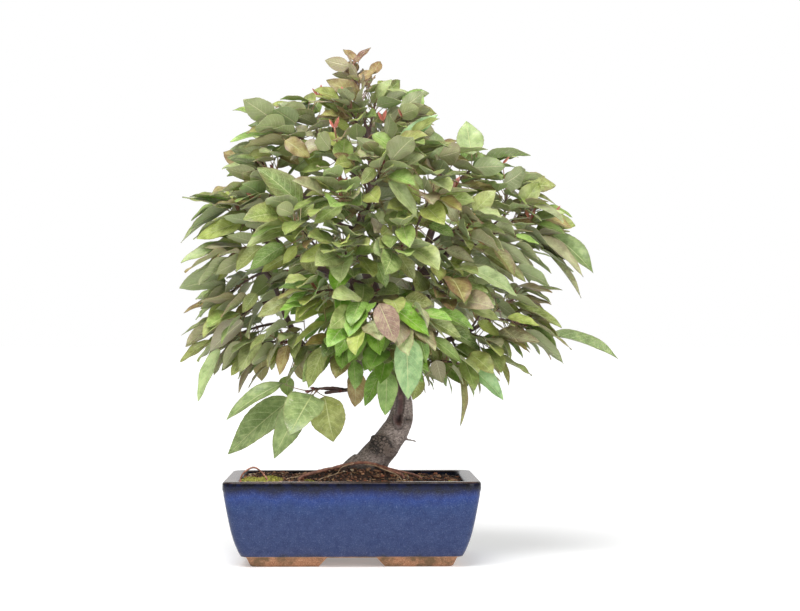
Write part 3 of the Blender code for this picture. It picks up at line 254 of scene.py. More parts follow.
# Leaves that show singly in the front view: base and tip pixels, depth in mm of the base, how
# far the face turns to the viewer in degrees (below 0 shows the underside), and width by length
FRONT_LEAVES = (
    (295, 105, 275, 108, 15, 30, .50), (297, 139, 248, 125, -10, 50, .48), (273, 133, 230, 142, 5, 18, .42),
    (293, 142, 244, 147, -18, -28, .42), (276, 148, 248, 161, 12, 30, .50), (254, 168, 222, 169, 12, 30, .46),
    (301, 205, 257, 168, -66, 65, .50), (298, 203, 264, 188, -52, 50, .48), (271, 181, 231, 205, -16, -50, .50),
    (234, 206, 181, 243, 2, 24, .36), (243, 222, 197, 239, -30, 55, .42), (232, 245, 181, 263, -14, 36, .38),
    (232, 250, 210, 261, 12, 35, .42), (236, 262, 194, 274, -8, 25, .40), (252, 249, 237, 268, -40, 70, .56),
    (273, 212, 296, 246, -88, 70, .58), (308, 250, 314, 274, -98, 80, .80), (297, 247, 283, 264, -84, 66, .56),
    (266, 233, 251, 244, -48, 60, .60),
    (233, 293, 196, 320, -6, 28, .34), (224, 300, 184, 313, 14, 32, .36), (241, 302, 210, 320, -22, -42, .42),
    (220, 321, 186, 347, 8, -50, .40), (211, 341, 181, 362, 16, 40, .38), (243, 321, 211, 351, -28, -56, .50),
    (220, 349, 199, 401, -12, 45, .30), (241, 341, 224, 369, -22, -46, .44), (256, 294, 243, 313, -46, 70, .58),
    (290, 300, 258, 317, -56, 50, .50), (328, 284, 279, 288, -98, 50, .40), (255, 362, 239, 393, -6, 28, .36),
    (267, 366, 249, 388, 14, 18, .36), (262, 356, 262, 381, 18, -72, .66), (283, 383, 227, 420, -52, 36, .34),
    (291, 399, 229, 454, -44, 62, .42), (308, 396, 274, 458, -76, 64, .46), (325, 396, 334, 441, -72, 76, .78),
    (288, 376, 288, 396, -22, 70, .80), (304, 407, 301, 424, -56, 70, .58), (288, 345, 280, 375, -60, 66, .48),
    (277, 346, 272, 370, -40, 60, .50), (297, 360, 304, 381, -14, -68, .54), (306, 348, 311, 380, -44, 60, .42),
    (326, 322, 292, 349, -98, 32, .34),
    (354, 63, 371, 47, 0, 40, .42), (351, 66, 336, 63, 3, 36, .48), (360, 80, 375, 68, -4, 50, .60),
    (361, 98, 326, 80, -14, 60, .54), (377, 98, 392, 79, -8, 52, .58), (407, 110, 422, 89, -6, 84, .82),
    (400, 150, 438, 114, -30, 52, .40), (438, 159, 434, 131, -10, 80, .72), (472, 154, 466, 121, 6, 84, .82),
    (476, 175, 482, 152, 0, 76, .62), (480, 155, 501, 180, 12, 40, .44), (436, 161, 406, 147, -16, 36, .44),
    (425, 182, 452, 197, -78, 56, .50), (389, 179, 418, 218, -98, 60, .38), (385, 161, 356, 137, -72, -68, .44),
    (372, 134, 401, 156, -44, 60, .48), (374, 168, 361, 184, -96, 80, .62), (342, 204, 314, 224, -100, 60, .56),
    (334, 249, 300, 262, -106, 60, .50), (342, 161, 345, 138, -62, 80, .80), (457, 221, 442, 198, -82, 70, .50),
    (475, 211, 496, 190, -62, 76, .68), (484, 244, 474, 213, -78, 78, .58),
    (364, 313, 336, 356, -126, 65, .44), (369, 324, 349, 363, -108, 60, .44), (374, 298, 393, 343, -142, -72, .60),
    (386, 303, 430, 337, -132, 56, .44), (406, 336, 408, 399, -136, 80, .48), (418, 334, 426, 363, -108, 56, .50),
    (371, 347, 370, 372, -100, 80, .70), (383, 368, 365, 406, -84, 66, .44), (386, 370, 385, 415, -100, 70, .48),
    (353, 360, 355, 390, -72, 66, .54), (421, 378, 413, 400, -64, 70, .60), (325, 347, 308, 388, -88, 62, .46),
    (431, 321, 461, 338, -116, 56, .46), (431, 338, 462, 363, -100, 50, .38), (446, 374, 452, 394, -68, 20, .36),
    (460, 376, 460, 426, -56, 42, .28), (436, 360, 442, 383, -62, -60, .58),
    (523, 205, 540, 182, -10, 70, .68), (503, 178, 530, 172, 6, 22, .34), (530, 193, 556, 204, 0, 32, .40),
    (547, 206, 573, 217, 10, 32, .40), (542, 217, 572, 228, -12, 40, .42), (539, 224, 566, 234, -28, 36, .40),
    (552, 234, 594, 273, 2, 50, .40), (541, 237, 584, 277, -22, 46, .34), (541, 245, 582, 298, 12, 36, .28),
    (516, 235, 539, 244, -42, 42, .40), (522, 293, 563, 290, 10, 22, .28), (511, 303, 562, 328, -12, 26, .32),
    (508, 317, 540, 326, -32, 46, .40), (527, 314, 558, 325, 16, 40, .38), (550, 335, 619, 359, 0, 32, .24),
    (524, 331, 564, 364, -16, -44, .34), (504, 337, 523, 358, -26, 42, .38), (492, 327, 508, 353, -36, 34, .38),
    (493, 354, 509, 386, -22, 28, .34), (463, 362, 503, 400, -62, 50, .40), (474, 270, 517, 296, -84, 52, .40),
    (493, 244, 530, 265, -52, -42, .42), (447, 294, 493, 306, -92, 50, .40), (437, 311, 473, 329, -106, 42, .40),
    (523, 258, 530, 283, -22, -52, .58), (494, 248, 515, 277, -46, 52, .40), (472, 369, 480, 394, -46, 24, .30),
)

# Leaf and twig sizes, in mm, and the leaf's outline as (share of length, share of half-width)
LEAF_SKIN = 0.34
STALK_HALF_WIDTH = 0.45
STALK_SPACING = 1.6
STALK_REACH = 13
STALK_LIMIT = 38
CLEARANCE = 1.15
PROBE_ROOM, PROBE_SIDES = 0.5, 6
BLADE_OUTLINE = ((0.30, 0.93), (0.68, 0.80))
TWIG_RADII = (1.7, 1.0)
TWIG_KNOTS = (0, 0.30, 0.65, 1)
TWIG_STEPS = 5
MELTED_SHARE, HIDDEN_SHARE = 0.42, 0.25
LEAF_TURN = math.radians(144)
FRONT_LEAN, DEPTH_STEP, TURN_STEP = (-6, 10), 3, 2
FRONT_TRIES = 14
DRAWN_TRIES = 26
STALK_FIRST = 0.40
STALK_RUN = 0.58
STALK_STEPS = 24
LOWEST_LEAF = 102

# Fine leaves: rows and columns of faces, how deep the teeth of the edge are, and the outline
LEAF_ROWS, LEAF_COLUMNS = 20, 4
TOOTH_SHARE = 0.035
LEAF_OUTLINE = (
    (0, 0.06), (0.02, 0.20), (0.06, 0.46), (0.12, 0.70), (0.20, 0.89), (0.30, 0.985), (0.40, 1.0), (0.50, 0.955),
    (0.60, 0.865), (0.70, 0.73), (0.80, 0.54), (0.88, 0.345), (0.94, 0.18), (0.98, 0.07), (1, 0.02),
)

# Leaves that only the picture needs, and the small red ones at the twigs' ends, in mm
FILL_LEAVES = 16
FILL_TRIES = 12
FILL_SHARE = (0.34, 1.0)
FILL_SIZE = (0.66, 1.10)
FILL_STALK = (8, 26)
FILL_CLEARANCE = 0.25
SPUR_SHARES = (0.42, 0.60, 0.78)
SPUR_REACH = (16, 30)
SPUR_LEAVES = 6
SPUR_SIZE = 40
BUD = ((0, 1.0), (1.2, 1.5), (3.4, 1.0), (5, 0.15))
YOUNG = "young"
YOUNG_LENGTH = (7, 15)
YOUNG_BEND, YOUNG_FOLD = math.radians(16), math.radians(38)
SHOOT_BEND, SHOOT_FOLD = math.radians(20), math.radians(34)

# Seeds of the random draws
SEEDS = {"front": 1000, "late": 2000, "spray": 5000, "spur": 400, "fill": 9000, "young": 7000, "shoot": 7500,
         "blade": 300, "wood": 41, "grain": 77, "moss": 55, "surface_root": 12, "arch_root": 13, "fine_root": 14}

# Tints of this tree and pot, as sRGB. Single leaves that stand out in the photograph have their own
TINTS = {
    # lime is painted light shining through leaves low in the crown
    "olive": "#90964f", "sage": "#9fb27c", "fresh_green": "#7ca04c", "deep_green": "#5c7a3b", "lime": "#74a526",
    "pale_green": "#8fb67a", "grey_green": "#788b57", "yellow_green": "#a9b957", "bronze": "#9a7d50",
    "dull_purple": "#a48a7e", "plum": "#86675e", "wine": "#7d4c44", "dry_tan": "#c2945c",
    "red_young": "#c0605a", "fired_clay": "#b08667", "bark_chip": "#76513d", "dark_crumb": "#43302a",
    "pumice": "#cfbb9f", "red_clay": "#9b6247", "straw": "#c2a377", "moss_lit": "#c3c05c", "moss_deep": "#858437",
}
SINGLE_TINTS = {
    (273, 212): "yellow_green", (243, 222): "yellow_green", (379, 304): "plum", (406, 336): "pale_green",
    (325, 396): "olive", (484, 244): "dry_tan", (262, 356): "dry_tan", (297, 360): "dry_tan",
    (386, 303): "lime", (308, 396): "grey_green", (291, 399): "grey_green", (400, 150): "pale_green",
    (328, 284): "fresh_green", (364, 313): "lime", (386, 370): "fresh_green", (383, 368): "lime",
    (353, 360): "fresh_green", (407, 110): "fresh_green", (472, 154): "sage", (438, 159): "sage",
    (552, 234): "grey_green", (550, 335): "grey_green", (220, 349): "sage", (463, 362): "pale_green",
    (354, 372): "bronze", (474, 270): "sage", "left_low_hang": "grey_green",
    (354, 63): "wine", (351, 66): "bronze", (360, 80): "bronze", (436, 360): "bronze",
}

# Where tints gather, in m: new growth above this height is bronze, and lime, painted light shining through leaves,
# lies low in the middle
BRONZE_ABOVE = 0.498
LIME_BELOW, LIME_DEEP = 0.330, 0.12
LIME_MIDDLE, LIME_WIDE = 0.015, 0.095
LIME_FRONT, LIME_REACH = 0.02, 0.10
CROWN_MIDDLE, CROWN_REACH = 0.30, (0.19, 0.21)

# Leaves that the solids leave out and the front view needs, as in FRONT_LEAVES, and the red shoots there
LATE_LEAVES = (
    (322, 142, 290, 160, -40, 60, .50), (300, 140, 318, 172, -36, 70, .50), (318, 150, 286, 178, -30, 50, .50),
    (290, 146, 266, 158, -10, 40, .45), (330, 165, 300, 172, -55, 50, .50), (312, 168, 280, 150, -20, 60, .55),
    (275, 150, 300, 165, 0, 50, .50), (285, 140, 310, 158, 10, 60, .60), (302, 152, 276, 168, 20, 65, .55),
    (320, 150, 300, 180, 30, 70, .60), (284, 246, 250, 270, -60, 60, .50), (262, 246, 236, 272, -30, 50, .45),
    (290, 256, 262, 272, -40, 60, .55), (270, 240, 285, 268, -20, 70, .60), (256, 250, 272, 274, 0, 60, .60),
    (338, 203, 356, 224, -60, 60, .60), (352, 200, 338, 222, -40, 70, .60), (368, 212, 374, 242, -60, 70, .50),
    (386, 214, 400, 238, -40, 60, .50), (372, 222, 396, 216, -20, 60, .60), (368, 215, 380, 240, 20, 60, .60),
    (404, 174, 420, 205, -70, 60, .40), (410, 176, 424, 190, -30, 60, .60), (398, 254, 414, 280, -90, 60, .60),
    (416, 252, 400, 276, -60, 60, .60), (446, 250, 474, 262, -70, 60, .50), (470, 246, 452, 266, -40, 60, .60),
    (482, 250, 526, 282, -40, 60, .30), (490, 262, 514, 282, -20, 50, .40), (446, 328, 480, 350, -60, 50, .45),
    (470, 308, 500, 320, -70, 50, .50), (478, 322, 500, 336, -40, 60, .50), (446, 316, 470, 332, -50, 60, .50),
    (440, 352, 446, 378, -40, 70, .50), (430, 346, 436, 372, -30, 60, .50), (354, 372, 355, 407, -60, 66, .62),
    (336, 313, 304, 342, -90, 40, .34), (314, 203, 299, 218, -60, 60, .60), (296, 128, 314, 136, -10, 60, .60),
    (318, 100, 338, 112, -10, 60, .50), (334, 120, 352, 132, -20, 60, .55), (376, 262, 386, 288, -90, 60, .55),
    (379, 304, 395, 343, -166, 75, .60), (428, 290, 446, 304, -80, 50, .50), (414, 128, 404, 142, -10, 60, .60),
    (396, 182, 378, 178, -70, 60, .50),
)
SHOOTS = (
    (254, 199, 246, 193, -70), (256, 200, 262, 194, -68), (320, 97, 321, 84, -10), (318, 96, 312, 88, -6),
    (383, 120, 386, 109, -20), (382, 120, 378, 111, -22), (335, 128, 339, 116, -60), (334, 128, 329, 119, -60),
    (341, 186, 339, 172, -100), (339, 184, 331, 175, -98), (341, 186, 348, 177, -100), (410, 186, 405, 177, -90),
    (453, 190, 460, 176, -84), (452, 189, 447, 179, -84), (503, 163, 510, 156, -4), (531, 219, 536, 207, -30),
    (529, 218, 526, 209, -30), (556, 213, 561, 205, -6), (402, 116, 398, 108, -24), (345, 95, 341, 86, -30),
)

# How far from its twig a late leaf may start, in mm, and how often a place is sought for it
LATE_LIMIT = 52
LATE_TRIES = 24

# Outline of the crown in the front view, in pixels, which the further leaves keep within
CROWN = (
    (352, 44), (372, 44), (396, 76), (428, 88), (440, 112), (470, 118), (486, 130), (488, 150), (520, 152),
    (545, 182), (575, 215), (597, 262), (583, 298), (545, 288), (565, 300), (572, 325), (620, 358), (566, 366),
    (530, 360), (505, 390), (480, 392), (440, 388), (425, 398), (400, 404), (362, 400), (345, 386), (300, 384),
    (262, 392), (240, 392), (196, 398), (180, 362), (182, 310), (202, 280), (180, 264), (180, 240), (200, 205),
    (222, 170), (228, 140), (245, 118), (272, 104), (300, 98), (320, 80), (335, 62),
)

# Stage: white wall behind and a dimmer room in front, a floor that glows more away from the pot, lamps
# as (name, place in m, size in m, watts) aimed at one height, and the camera that took the photograph
WALL_LIGHT, ROOM_LIGHT = 1.0, 0.42
WALL_EDGE = (0.5, 0.9)
FLOOR_GLOW = (0.26, 0.72)
FLOOR_GLOW_REACH = (0.4, 2.5)
FLOOR_REACH = 300
LAMP_AIM = 0.28
LAMPS = (
    ("bank above", (-0.4, -0.9, 1.9), (1.3, 1.1), 50),
    ("soft front", (1.1, -1.7, 0.8), (1.2, 1.2), 21),
)
SENSOR = 36
PHOTO_WIDTH, PHOTO_HEIGHT = 800, 611


def linear(hex_colour):
    """A linear RGB triple from an sRGB hex value."""
    parts = [int(hex_colour[i:i + 2], 16) / 255 for i in (1, 3, 5)]
    return tuple(p / 12.92 if p <= 0.04045 else ((p + 0.055) / 1.055) ** 2.4 for p in parts)


def mixed(first, second, share):
    """A linear colour between two named tints."""
    a, b = linear(TINTS[first]), linear(TINTS[second])
    return tuple(p + (q - p) * share for p, q in zip(a, b))


def held(value):
    """A value kept between 0 and 1."""
    return min(max(value, 0), 1)


def bell(value, power=2):
    """1 at a value of 0, falling off smoothly to both sides."""
    return math.exp(-(value ** power))


def scattered(draw, reach):
    """A vector with three random parts, each up to the given reach."""
    return Vector([draw.uniform(-reach, reach) for _ in range(3)])


def put(name, data):
    """An object made of that data, linked to the scene."""
    thing = bpy.data.objects.new(name, data)
    bpy.context.scene.collection.objects.link(thing)
    return thing


def started(name):
    """A new material with only its Principled shader and output, and its node tree."""
    made = bpy.data.materials.new(name)
    made.use_nodes = True
    return made, made.node_tree, made.node_tree.nodes["Principled BSDF"]


def plug(tree, node, inputs):
    """Give a node's inputs their values: numbers, vectors, sRGB hex colours or links from other sockets."""
    for key, value in inputs.items():
        if isinstance(value, bpy.types.NodeSocket):
            tree.links.new(value, node.inputs[key])
        else:
            node.inputs[key].default_value = (*linear(value), 1) if isinstance(value, str) else value


def add(tree, kind, inputs, out=0, stops=(), **settings):
    """Add a node with its settings, its ramp's (place, sRGB hex) stops and its links; the output asked for."""
    node = tree.nodes.new("ShaderNode" + kind)
    for key, value in settings.items():
        setattr(node, key, value)
    for index, (place, colour) in enumerate(stops):
        points = node.color_ramp.elements
        point = points[index] if index < len(points) else points.new(place)
        point.position, point.color = place, (*linear(colour), 1)
    plug(tree, node, inputs)
    return node.outputs[out]


def per_mm(size):
    """A pattern scale that repeats about every so many millimetres."""
    return 1 / (size * MM)


def mm(*values):
    """A vector in metres from values in millimetres."""
    return Vector(values) * MM


def seen(across, down, depth):
    """The point in metres behind a pixel of the front view, at a depth in mm behind the trunk."""
    scale = (EYE_DISTANCE + depth) / RIM_DISTANCE
    return mm((across - VIEW_X) * scale, depth, EYE_HEIGHT + (VIEW_Y - down) * scale)


def spine(rows):
    """(point, radius) pairs from rows of x, y, z and radius in mm."""
    return [(mm(*row[:3]), row[3]) for row in rows]


def flowing(points, steps):
    """Points on a smooth curve through the given ones, with any number of values each."""
    result = []
    for index in range(len(points) - 1):
        before = points[max(index - 1, 0)]
        start, end = points[index], points[index + 1]
        after = points[min(index + 2, len(points) - 1)]
        for step in range(steps):
            share = step / steps
            result.append(tuple(
                0.5 * (2 * b + (c - a) * share + (2 * a - 5 * b + 4 * c - d) * share ** 2
                       + (3 * b - a - 3 * c + d) * share ** 3)
                for a, b, c, d in zip(before, start, end, after)))
    result.append(tuple(points[-1]))
    return result


def tapered(row):
    """The path of a branch: (point, radius) pairs whose radius falls evenly to the tip."""
    first, last, places = row
    count = len(places) - 1
    return [(mm(*place), first + (last - first) * index / count) for index, place in enumerate(places)]


def along(path, share):
    """The point and radius at a share of a path's length."""
    spans = [(b[0] - a[0]).length for a, b in zip(path, path[1:])]
    wanted = share * sum(spans)
    for (start, end), span in zip(zip(path, path[1:]), spans):
        if wanted <= span:
            part = wanted / span
            return start[0].lerp(end[0], part), start[1] + (end[1] - start[1]) * part
        wanted -= span
    return path[-1]


def limbs():
    """The paths of the trunk and of every branch, by name."""
    paths = {name: tapered(row) for name, row in BRANCHES.items()}
    paths["trunk"] = spine(TRUNK)
    return paths


def bowed(start, bow, tip, share):
    """A point on a gentle bow from start to tip."""
    rest = 1 - share
    return start * rest * rest + bow * 2 * rest * share + tip * share * share


def twig_place(twig, share):
    """A point on a spray's twig, which runs straight between its knots."""
    for (low, a), (high, b) in zip(twig.knots, twig.knots[1:]):
        if share <= high:
            return a.lerp(b, (share - low) / (high - low))
    return twig.tip


def twig_run(twig, share):
    """The direction of the twig there."""
    step = 0.02
    return (twig_place(twig, min(share + step, 1)) - twig_place(twig, max(share - step, 0))).normalized()


def twig_path(twig):
    """(point, radius) pairs along a twig."""
    thick, thin = twig.radii
    return [(place, thick + (thin - thick) * share) for share, place in twig.knots]


def twig_curve(twig):
    """Points on a smooth curve through the twig's knots."""
    return [Vector(place) for place in flowing([tuple(place) for _, place in twig.knots], TWIG_STEPS)]


def make_twigs(paths):
    """Every spray's twig, from its branch to its tip."""
    twigs = []
    for name, branch, share, tip, count, size in SPRAYS:
        start, radius = along(paths[branch], share)
        end = seen(*tip)
        reach = (end - start).length
        bow = (start + end) / 2 + UP * 0.12 * reach
        thick = min(TWIG_RADII[0], radius * 0.8)
        knots = [(part, bowed(start, bow, end, part)) for part in TWIG_KNOTS]
        twigs.append(SimpleNamespace(name=name, knots=knots, tip=end, reach=reach, taken=[],
                                     radii=(thick, TWIG_RADII[1]), count=count, size=size * MM))
    return twigs


def prism(path):
    """Points and faces of a plain tube a little wider than a path, for testing what a leaf would cross."""
    points = []
    for index, (place, radius) in enumerate(path):
        ahead = path[min(index + 1, len(path) - 1)][0] - path[max(index - 1, 0)][0]
        turn = ahead.to_track_quat("Z", "Y")
        reach = radius * MM + PROBE_ROOM * MM
        for side in range(PROBE_SIDES):
            angle = 2 * math.pi * side / PROBE_SIDES
            points.append(place + turn @ Vector((math.cos(angle) * reach, math.sin(angle) * reach, 0)))
    return points, tube_faces(len(path), PROBE_SIDES)


def tree_of(points, faces):
    """A search tree of a shape, which tells whether another one overlaps it."""
    return BVHTree.FromPolygons([tuple(point) for point in points], faces)


def on_blade(leaf, share, across):
    """A point of the blade: its midrib is an arc, its halves fold up from it (across is -1 to 1)."""
    angle = leaf.bend * share
    run = leaf.length * math.sin(angle) / leaf.bend
    drop = leaf.length * (1 - math.cos(angle)) / leaf.bend
    up = leaf.normal * math.cos(angle) + leaf.heading * math.sin(angle)
    half = across * leaf.width / 2
    middle = leaf.base + leaf.heading * run - leaf.normal * drop
    return middle + leaf.side * half * math.cos(leaf.fold) + up * abs(half) * math.sin(leaf.fold)


def has_room(twig, share):
    """Whether a stalk can leave the twig there, clear of the stalks that already do."""
    return all(abs(share - other) * twig.reach > STALK_SPACING * MM for other in twig.taken)


def new_leaf(twig, share, base, tip, normal, ratio, bend, fold):
    """A leaf whose blade runs from base to tip, its upper face towards normal, stalked from the twig."""
    chord = tip - base
    reach = chord.length
    chord = chord.normalized()
    face = (normal - chord * normal.dot(chord)).normalized()
    half = bend / 2
    heading = chord * math.cos(half) + face * math.sin(half)
    upper = face * math.cos(half) - chord * math.sin(half)
    length = reach * half / math.sin(half)
    return SimpleNamespace(spray=twig.name, share=share, root=twig_place(twig, share), base=base,
                           heading=heading, normal=upper, side=heading.cross(upper), length=length,
                           width=length * ratio, bend=bend, fold=fold)


# Corners of a leaf's middle surface: stalk (0-3) and blade (2-8), which folds along a line to its tip
BLADE_FACES = ((2, 3, 8), (3, 5, 8), (5, 7, 8), (6, 4, 8), (4, 2, 8))
LEAF_FACES = ((0, 1, 3), (0, 3, 2)) + BLADE_FACES
LEAF_EDGE = (0, 1, 3, 5, 7, 8, 6, 4, 2)
BLADE_EDGE = LEAF_EDGE[2:]


def leaf_points(leaf):
    """The nine corners of a leaf's middle surface."""
    stalk = (leaf.base - leaf.root).normalized()
    wide = stalk.cross(leaf.normal)
    if wide.length < 0.3:
        wide = leaf.side - stalk * leaf.side.dot(stalk)
    half = wide.normalized() * STALK_HALF_WIDTH * MM
    points = [leaf.root - half, leaf.root + half, leaf.base - half, leaf.base + half]
    for share, part in BLADE_OUTLINE:
        points += [on_blade(leaf, share, -part), on_blade(leaf, share, part)]
    points.append(on_blade(leaf, 1, 0))
    return points


def thick_shell(points, faces, edge, reach):
    """The closed skin that lies a distance off both sides of a leaf's middle surface."""
    normals = [Vector((0, 0, 0)) for _ in points]
    for a, b, c in faces:
        normal = (points[b] - points[a]).cross(points[c] - points[a])
        for corner in (a, b, c):
            normals[corner] += normal
    offsets = [normal.normalized() * reach for normal in normals]
    upper = [point + offset for point, offset in zip(points, offsets)]
    lower = [point - offset for point, offset in zip(points, offsets)]
    count = len(points)
    skin = list(faces) + [(c + count, b + count, a + count) for a, b, c in faces]
    for a, b in zip(edge, edge[1:] + edge[:1]):
        skin.append((a, b, b + count, a + count))
    return upper + lower, skin


class Crowd:
    """What stands already: wood, twigs and leaves, so that a new leaf can be set clear of them."""

    def __init__(self, paths, twigs):
        self.wood = [tree_of(*prism(path)) for path in paths]
        self.twigs, self.leaves = {}, []
        self.watch(twigs)

    def watch(self, twigs):
        """Keep clear of these twigs too."""
        self.twigs.update({twig.name: tree_of(*prism(twig_path(twig))) for twig in twigs})

    def fits(self, leaf, room):
        """Whether a leaf stands above the soil and that many mm clear of everything, but for its own stalk's foot."""
        points = leaf_points(leaf)
        if min(point.z for point in points) < LOWEST_LEAF * MM:
            return False
        whole = tree_of(*thick_shell(points, LEAF_FACES, LEAF_EDGE, room * MM))
        blade = tree_of(*thick_shell(points, BLADE_FACES, BLADE_EDGE, room * MM))
        if any(whole.overlap(wood) for wood in self.wood):
            return False
        for name, twig in self.twigs.items():
            if (blade if name == leaf.spray else whole).overlap(twig):
                return False
        middle = (points[0] + points[8]) / 2
        reach = (points[8] - points[0]).length
        for other in self.leaves:
            if (other.middle - middle).length > (other.reach + reach) * 0.6:
                continue
            if other.spray == leaf.spray:
                if blade.overlap(other.whole) or whole.overlap(other.blade):
                    return False
            elif whole.overlap(other.whole):
                return False
        return True

    def add(self, leaf):
        """Count the leaf among what stands."""
        points = leaf_points(leaf)
        self.leaves.append(SimpleNamespace(
            spray=leaf.spray, middle=(points[0] + points[8]) / 2, reach=(points[8] - points[0]).length,
            whole=tree_of(points, LEAF_FACES), blade=tree_of(points, BLADE_FACES)))


def nearest_twig(twigs, place):
    """The distance to the nearest twig that still has room, that twig, and the share along it."""
    best = None
    for twig in twigs:
        if len(twig.taken) >= twig.count:
            continue
        for step in range(STALK_STEPS + 1):
            share = STALK_FIRST + STALK_RUN * step / STALK_STEPS
            distance = (twig_place(twig, share) - place).length
            if (best is None or distance < best[0]) and has_room(twig, share):
                best = (distance, twig, share)
    return best


def front_leaf(twigs, row, draw, attempt, limit=STALK_LIMIT):
    """One leaf of the front view, or None where no twig is near enough to carry it."""
    x0, y0, x1, y1, depth, turn, ratio = row
    depth += draw.uniform(-1, 1) * DEPTH_STEP * attempt
    lean = draw.uniform(*FRONT_LEAN)
    base = seen(x0, y0, depth)
    tip = seen(x1, y1, depth + lean)
    chord = (tip - base).normalized()
    found = nearest_twig(twigs, base - chord * STALK_REACH * MM)
    if found is None or found[0] > limit * MM:
        return None
    _, twig, share = found
    # In the solids no blade runs back over its own stalk
    if limit == STALK_LIMIT and (base - twig_place(twig, share)).dot(chord) < 0:
        return None
    upward = UP - chord * UP.dot(chord)
    if upward.length < 0.35:
        upward = Vector((math.copysign(1, base.x), 0.3, 0))
    upward = (upward - chord * upward.dot(chord)).normalized()
    facing = (TOWARD_VIEWER - chord * TOWARD_VIEWER.dot(chord)).normalized()
    angle = math.radians(turn + draw.uniform(-1, 1) * TURN_STEP * attempt)
    normal = upward * math.cos(angle) + facing * math.sin(angle)
    bend = math.radians(draw.uniform(28, 52))
    fold = math.radians(draw.uniform(8, 20))
    return new_leaf(twig, share, base, tip, normal, ratio, bend, fold)


def shaped_leaf(twig, share, turn, draw, attempt, sizes, stalks=None):
    """A leaf by rule: its stalk leaves the twig at that share and turn, and its blade hangs outward."""
    root = twig_place(twig, share)
    run = twig_run(twig, share)
    across = run.orthogonal().normalized()
    radial = Matrix.Rotation(turn, 3, run) @ across
    opening = math.radians(75 - 40 * share)
    stalk = (run * math.cos(opening) + radial * math.sin(opening) + UP * 0.30).normalized()
    outward = Vector((root.x - TRUNK_X * MM, root.y, 0)).normalized()
    level = Vector((stalk.x, stalk.y, 0)) + outward * 0.45
    level.normalize()
    # Low in the crown the leaves hang, and toward its top they rise
    rise = math.radians(-42 + (root.z / MM - 180) * 0.20 + draw.uniform(-24, 24))
    chord = level * math.cos(rise) + UP * math.sin(rise)
    size = twig.size * draw.uniform(*sizes) * (1 - 0.015 * attempt)
    reach = draw.uniform(*stalks) * MM if stalks else size * draw.uniform(0.26, 0.40)
    base = root + stalk * reach
    normal = UP + outward * 0.85 + scattered(draw, 0.45)
    normal = Matrix.Rotation(draw.uniform(-0.6, 0.6), 3, chord) @ normal
    bend = math.radians(draw.uniform(22, 55))
    fold = math.radians(draw.uniform(6, 22))
    return new_leaf(twig, share, base, base + chord * size, normal, draw.uniform(0.52, 0.64), bend, fold)


def drawn_leaf(twig, index, draw, attempt):
    """One leaf by rule: leaves turn round the twig by two fifths of a circle and crowd at its tip."""
    wanted = STALK_FIRST + STALK_RUN * ((index + 0.5) / twig.count) ** 0.85 + draw.uniform(-0.02, 0.02)
    steps = [STALK_FIRST + STALK_RUN * step / STALK_STEPS for step in range(STALK_STEPS + 1)]
    free = [step for step in steps if has_room(twig, step)]
    share = min(free or steps, key=lambda step: abs(step - wanted))
    turn = index * LEAF_TURN + twig.phase + draw.uniform(-0.4, 0.4) * (1 + 0.35 * attempt)
    return shaped_leaf(twig, share, turn, draw, attempt, (0.84, 1.20))


def set_first_that_fits(crowd, leaves, room, tries, seen_at=None):
    """Set the first of the tried leaves that keeps clear of all that stands, and tell which, or None."""
    for leaf in tries:
        if leaf and crowd.fits(leaf, room):
            crowd.add(leaf)
            leaf.seen_at = seen_at
            leaves.append(leaf)
            return leaf
    return None


def lay_out_leaves(twigs, crowd):
    """The leaves of the solids: those that show singly in front, then the rest of each spray."""
    named = {twig.name: twig for twig in twigs}
    leaves = []
    for number, row in enumerate(FRONT_LEAVES):
        draw = random.Random(SEEDS["front"] + number)
        tries = (front_leaf(twigs, row, draw, attempt) for attempt in range(FRONT_TRIES))
        leaf = set_first_that_fits(crowd, leaves, CLEARANCE, tries, row[:2])
        if leaf:
            named[leaf.spray].taken.append(leaf.share)
    for number, twig in enumerate(twigs):
        draw = random.Random(SEEDS["spray"] + number)
        twig.phase = draw.uniform(0, 2 * math.pi)
        for index in range(len(twig.taken), twig.count):
            tries = (drawn_leaf(twig, index, draw, attempt) for attempt in range(DRAWN_TRIES))
            leaf = set_first_that_fits(crowd, leaves, CLEARANCE, tries)
            if leaf:
                twig.taken.append(leaf.share)
    return leaves


def inside_frame(leaf):
    """Whether a leaf keeps within the solids' box and the crown's outline in the front view."""
    for point in leaf_points(leaf):
        place = point + SHIFT
        if any(place[axis] < CAD_BOX[0][axis] or place[axis] > CAD_BOX[1][axis] for axis in range(3)):
            return False
        scale = (EYE_DISTANCE + point.y / MM) / RIM_DISTANCE
        across, down = VIEW_X + point.x / MM / scale, VIEW_Y - (point.z / MM - EYE_HEIGHT) / scale
        inside = False
        for (x0, y0), (x1, y1) in zip(CROWN, CROWN[1:] + CROWN[:1]):
            if (y0 > down) != (y1 > down) and across < x0 + (x1 - x0) * (down - y0) / (y1 - y0):
                inside = not inside
        if not inside:
            return False
    return True


def late_leaves(twigs, crowd, leaves):
    """The leaves of the front view that the solids leave out, on longer stalks where need be."""
    placed = {leaf.seen_at for leaf in leaves}
    for twig in twigs:
        twig.count = sys.maxsize
        twig.taken = []
    rows = [row for row in FRONT_LEAVES if row[:2] not in placed] + list(LATE_LEAVES)
    for number, row in enumerate(rows):
        draw = random.Random(SEEDS["late"] + number)
        tries = (front_leaf(twigs, row, draw, attempt, LATE_LIMIT) for attempt in range(LATE_TRIES))
        set_first_that_fits(crowd, leaves, FILL_CLEARANCE, tries, row[:2])


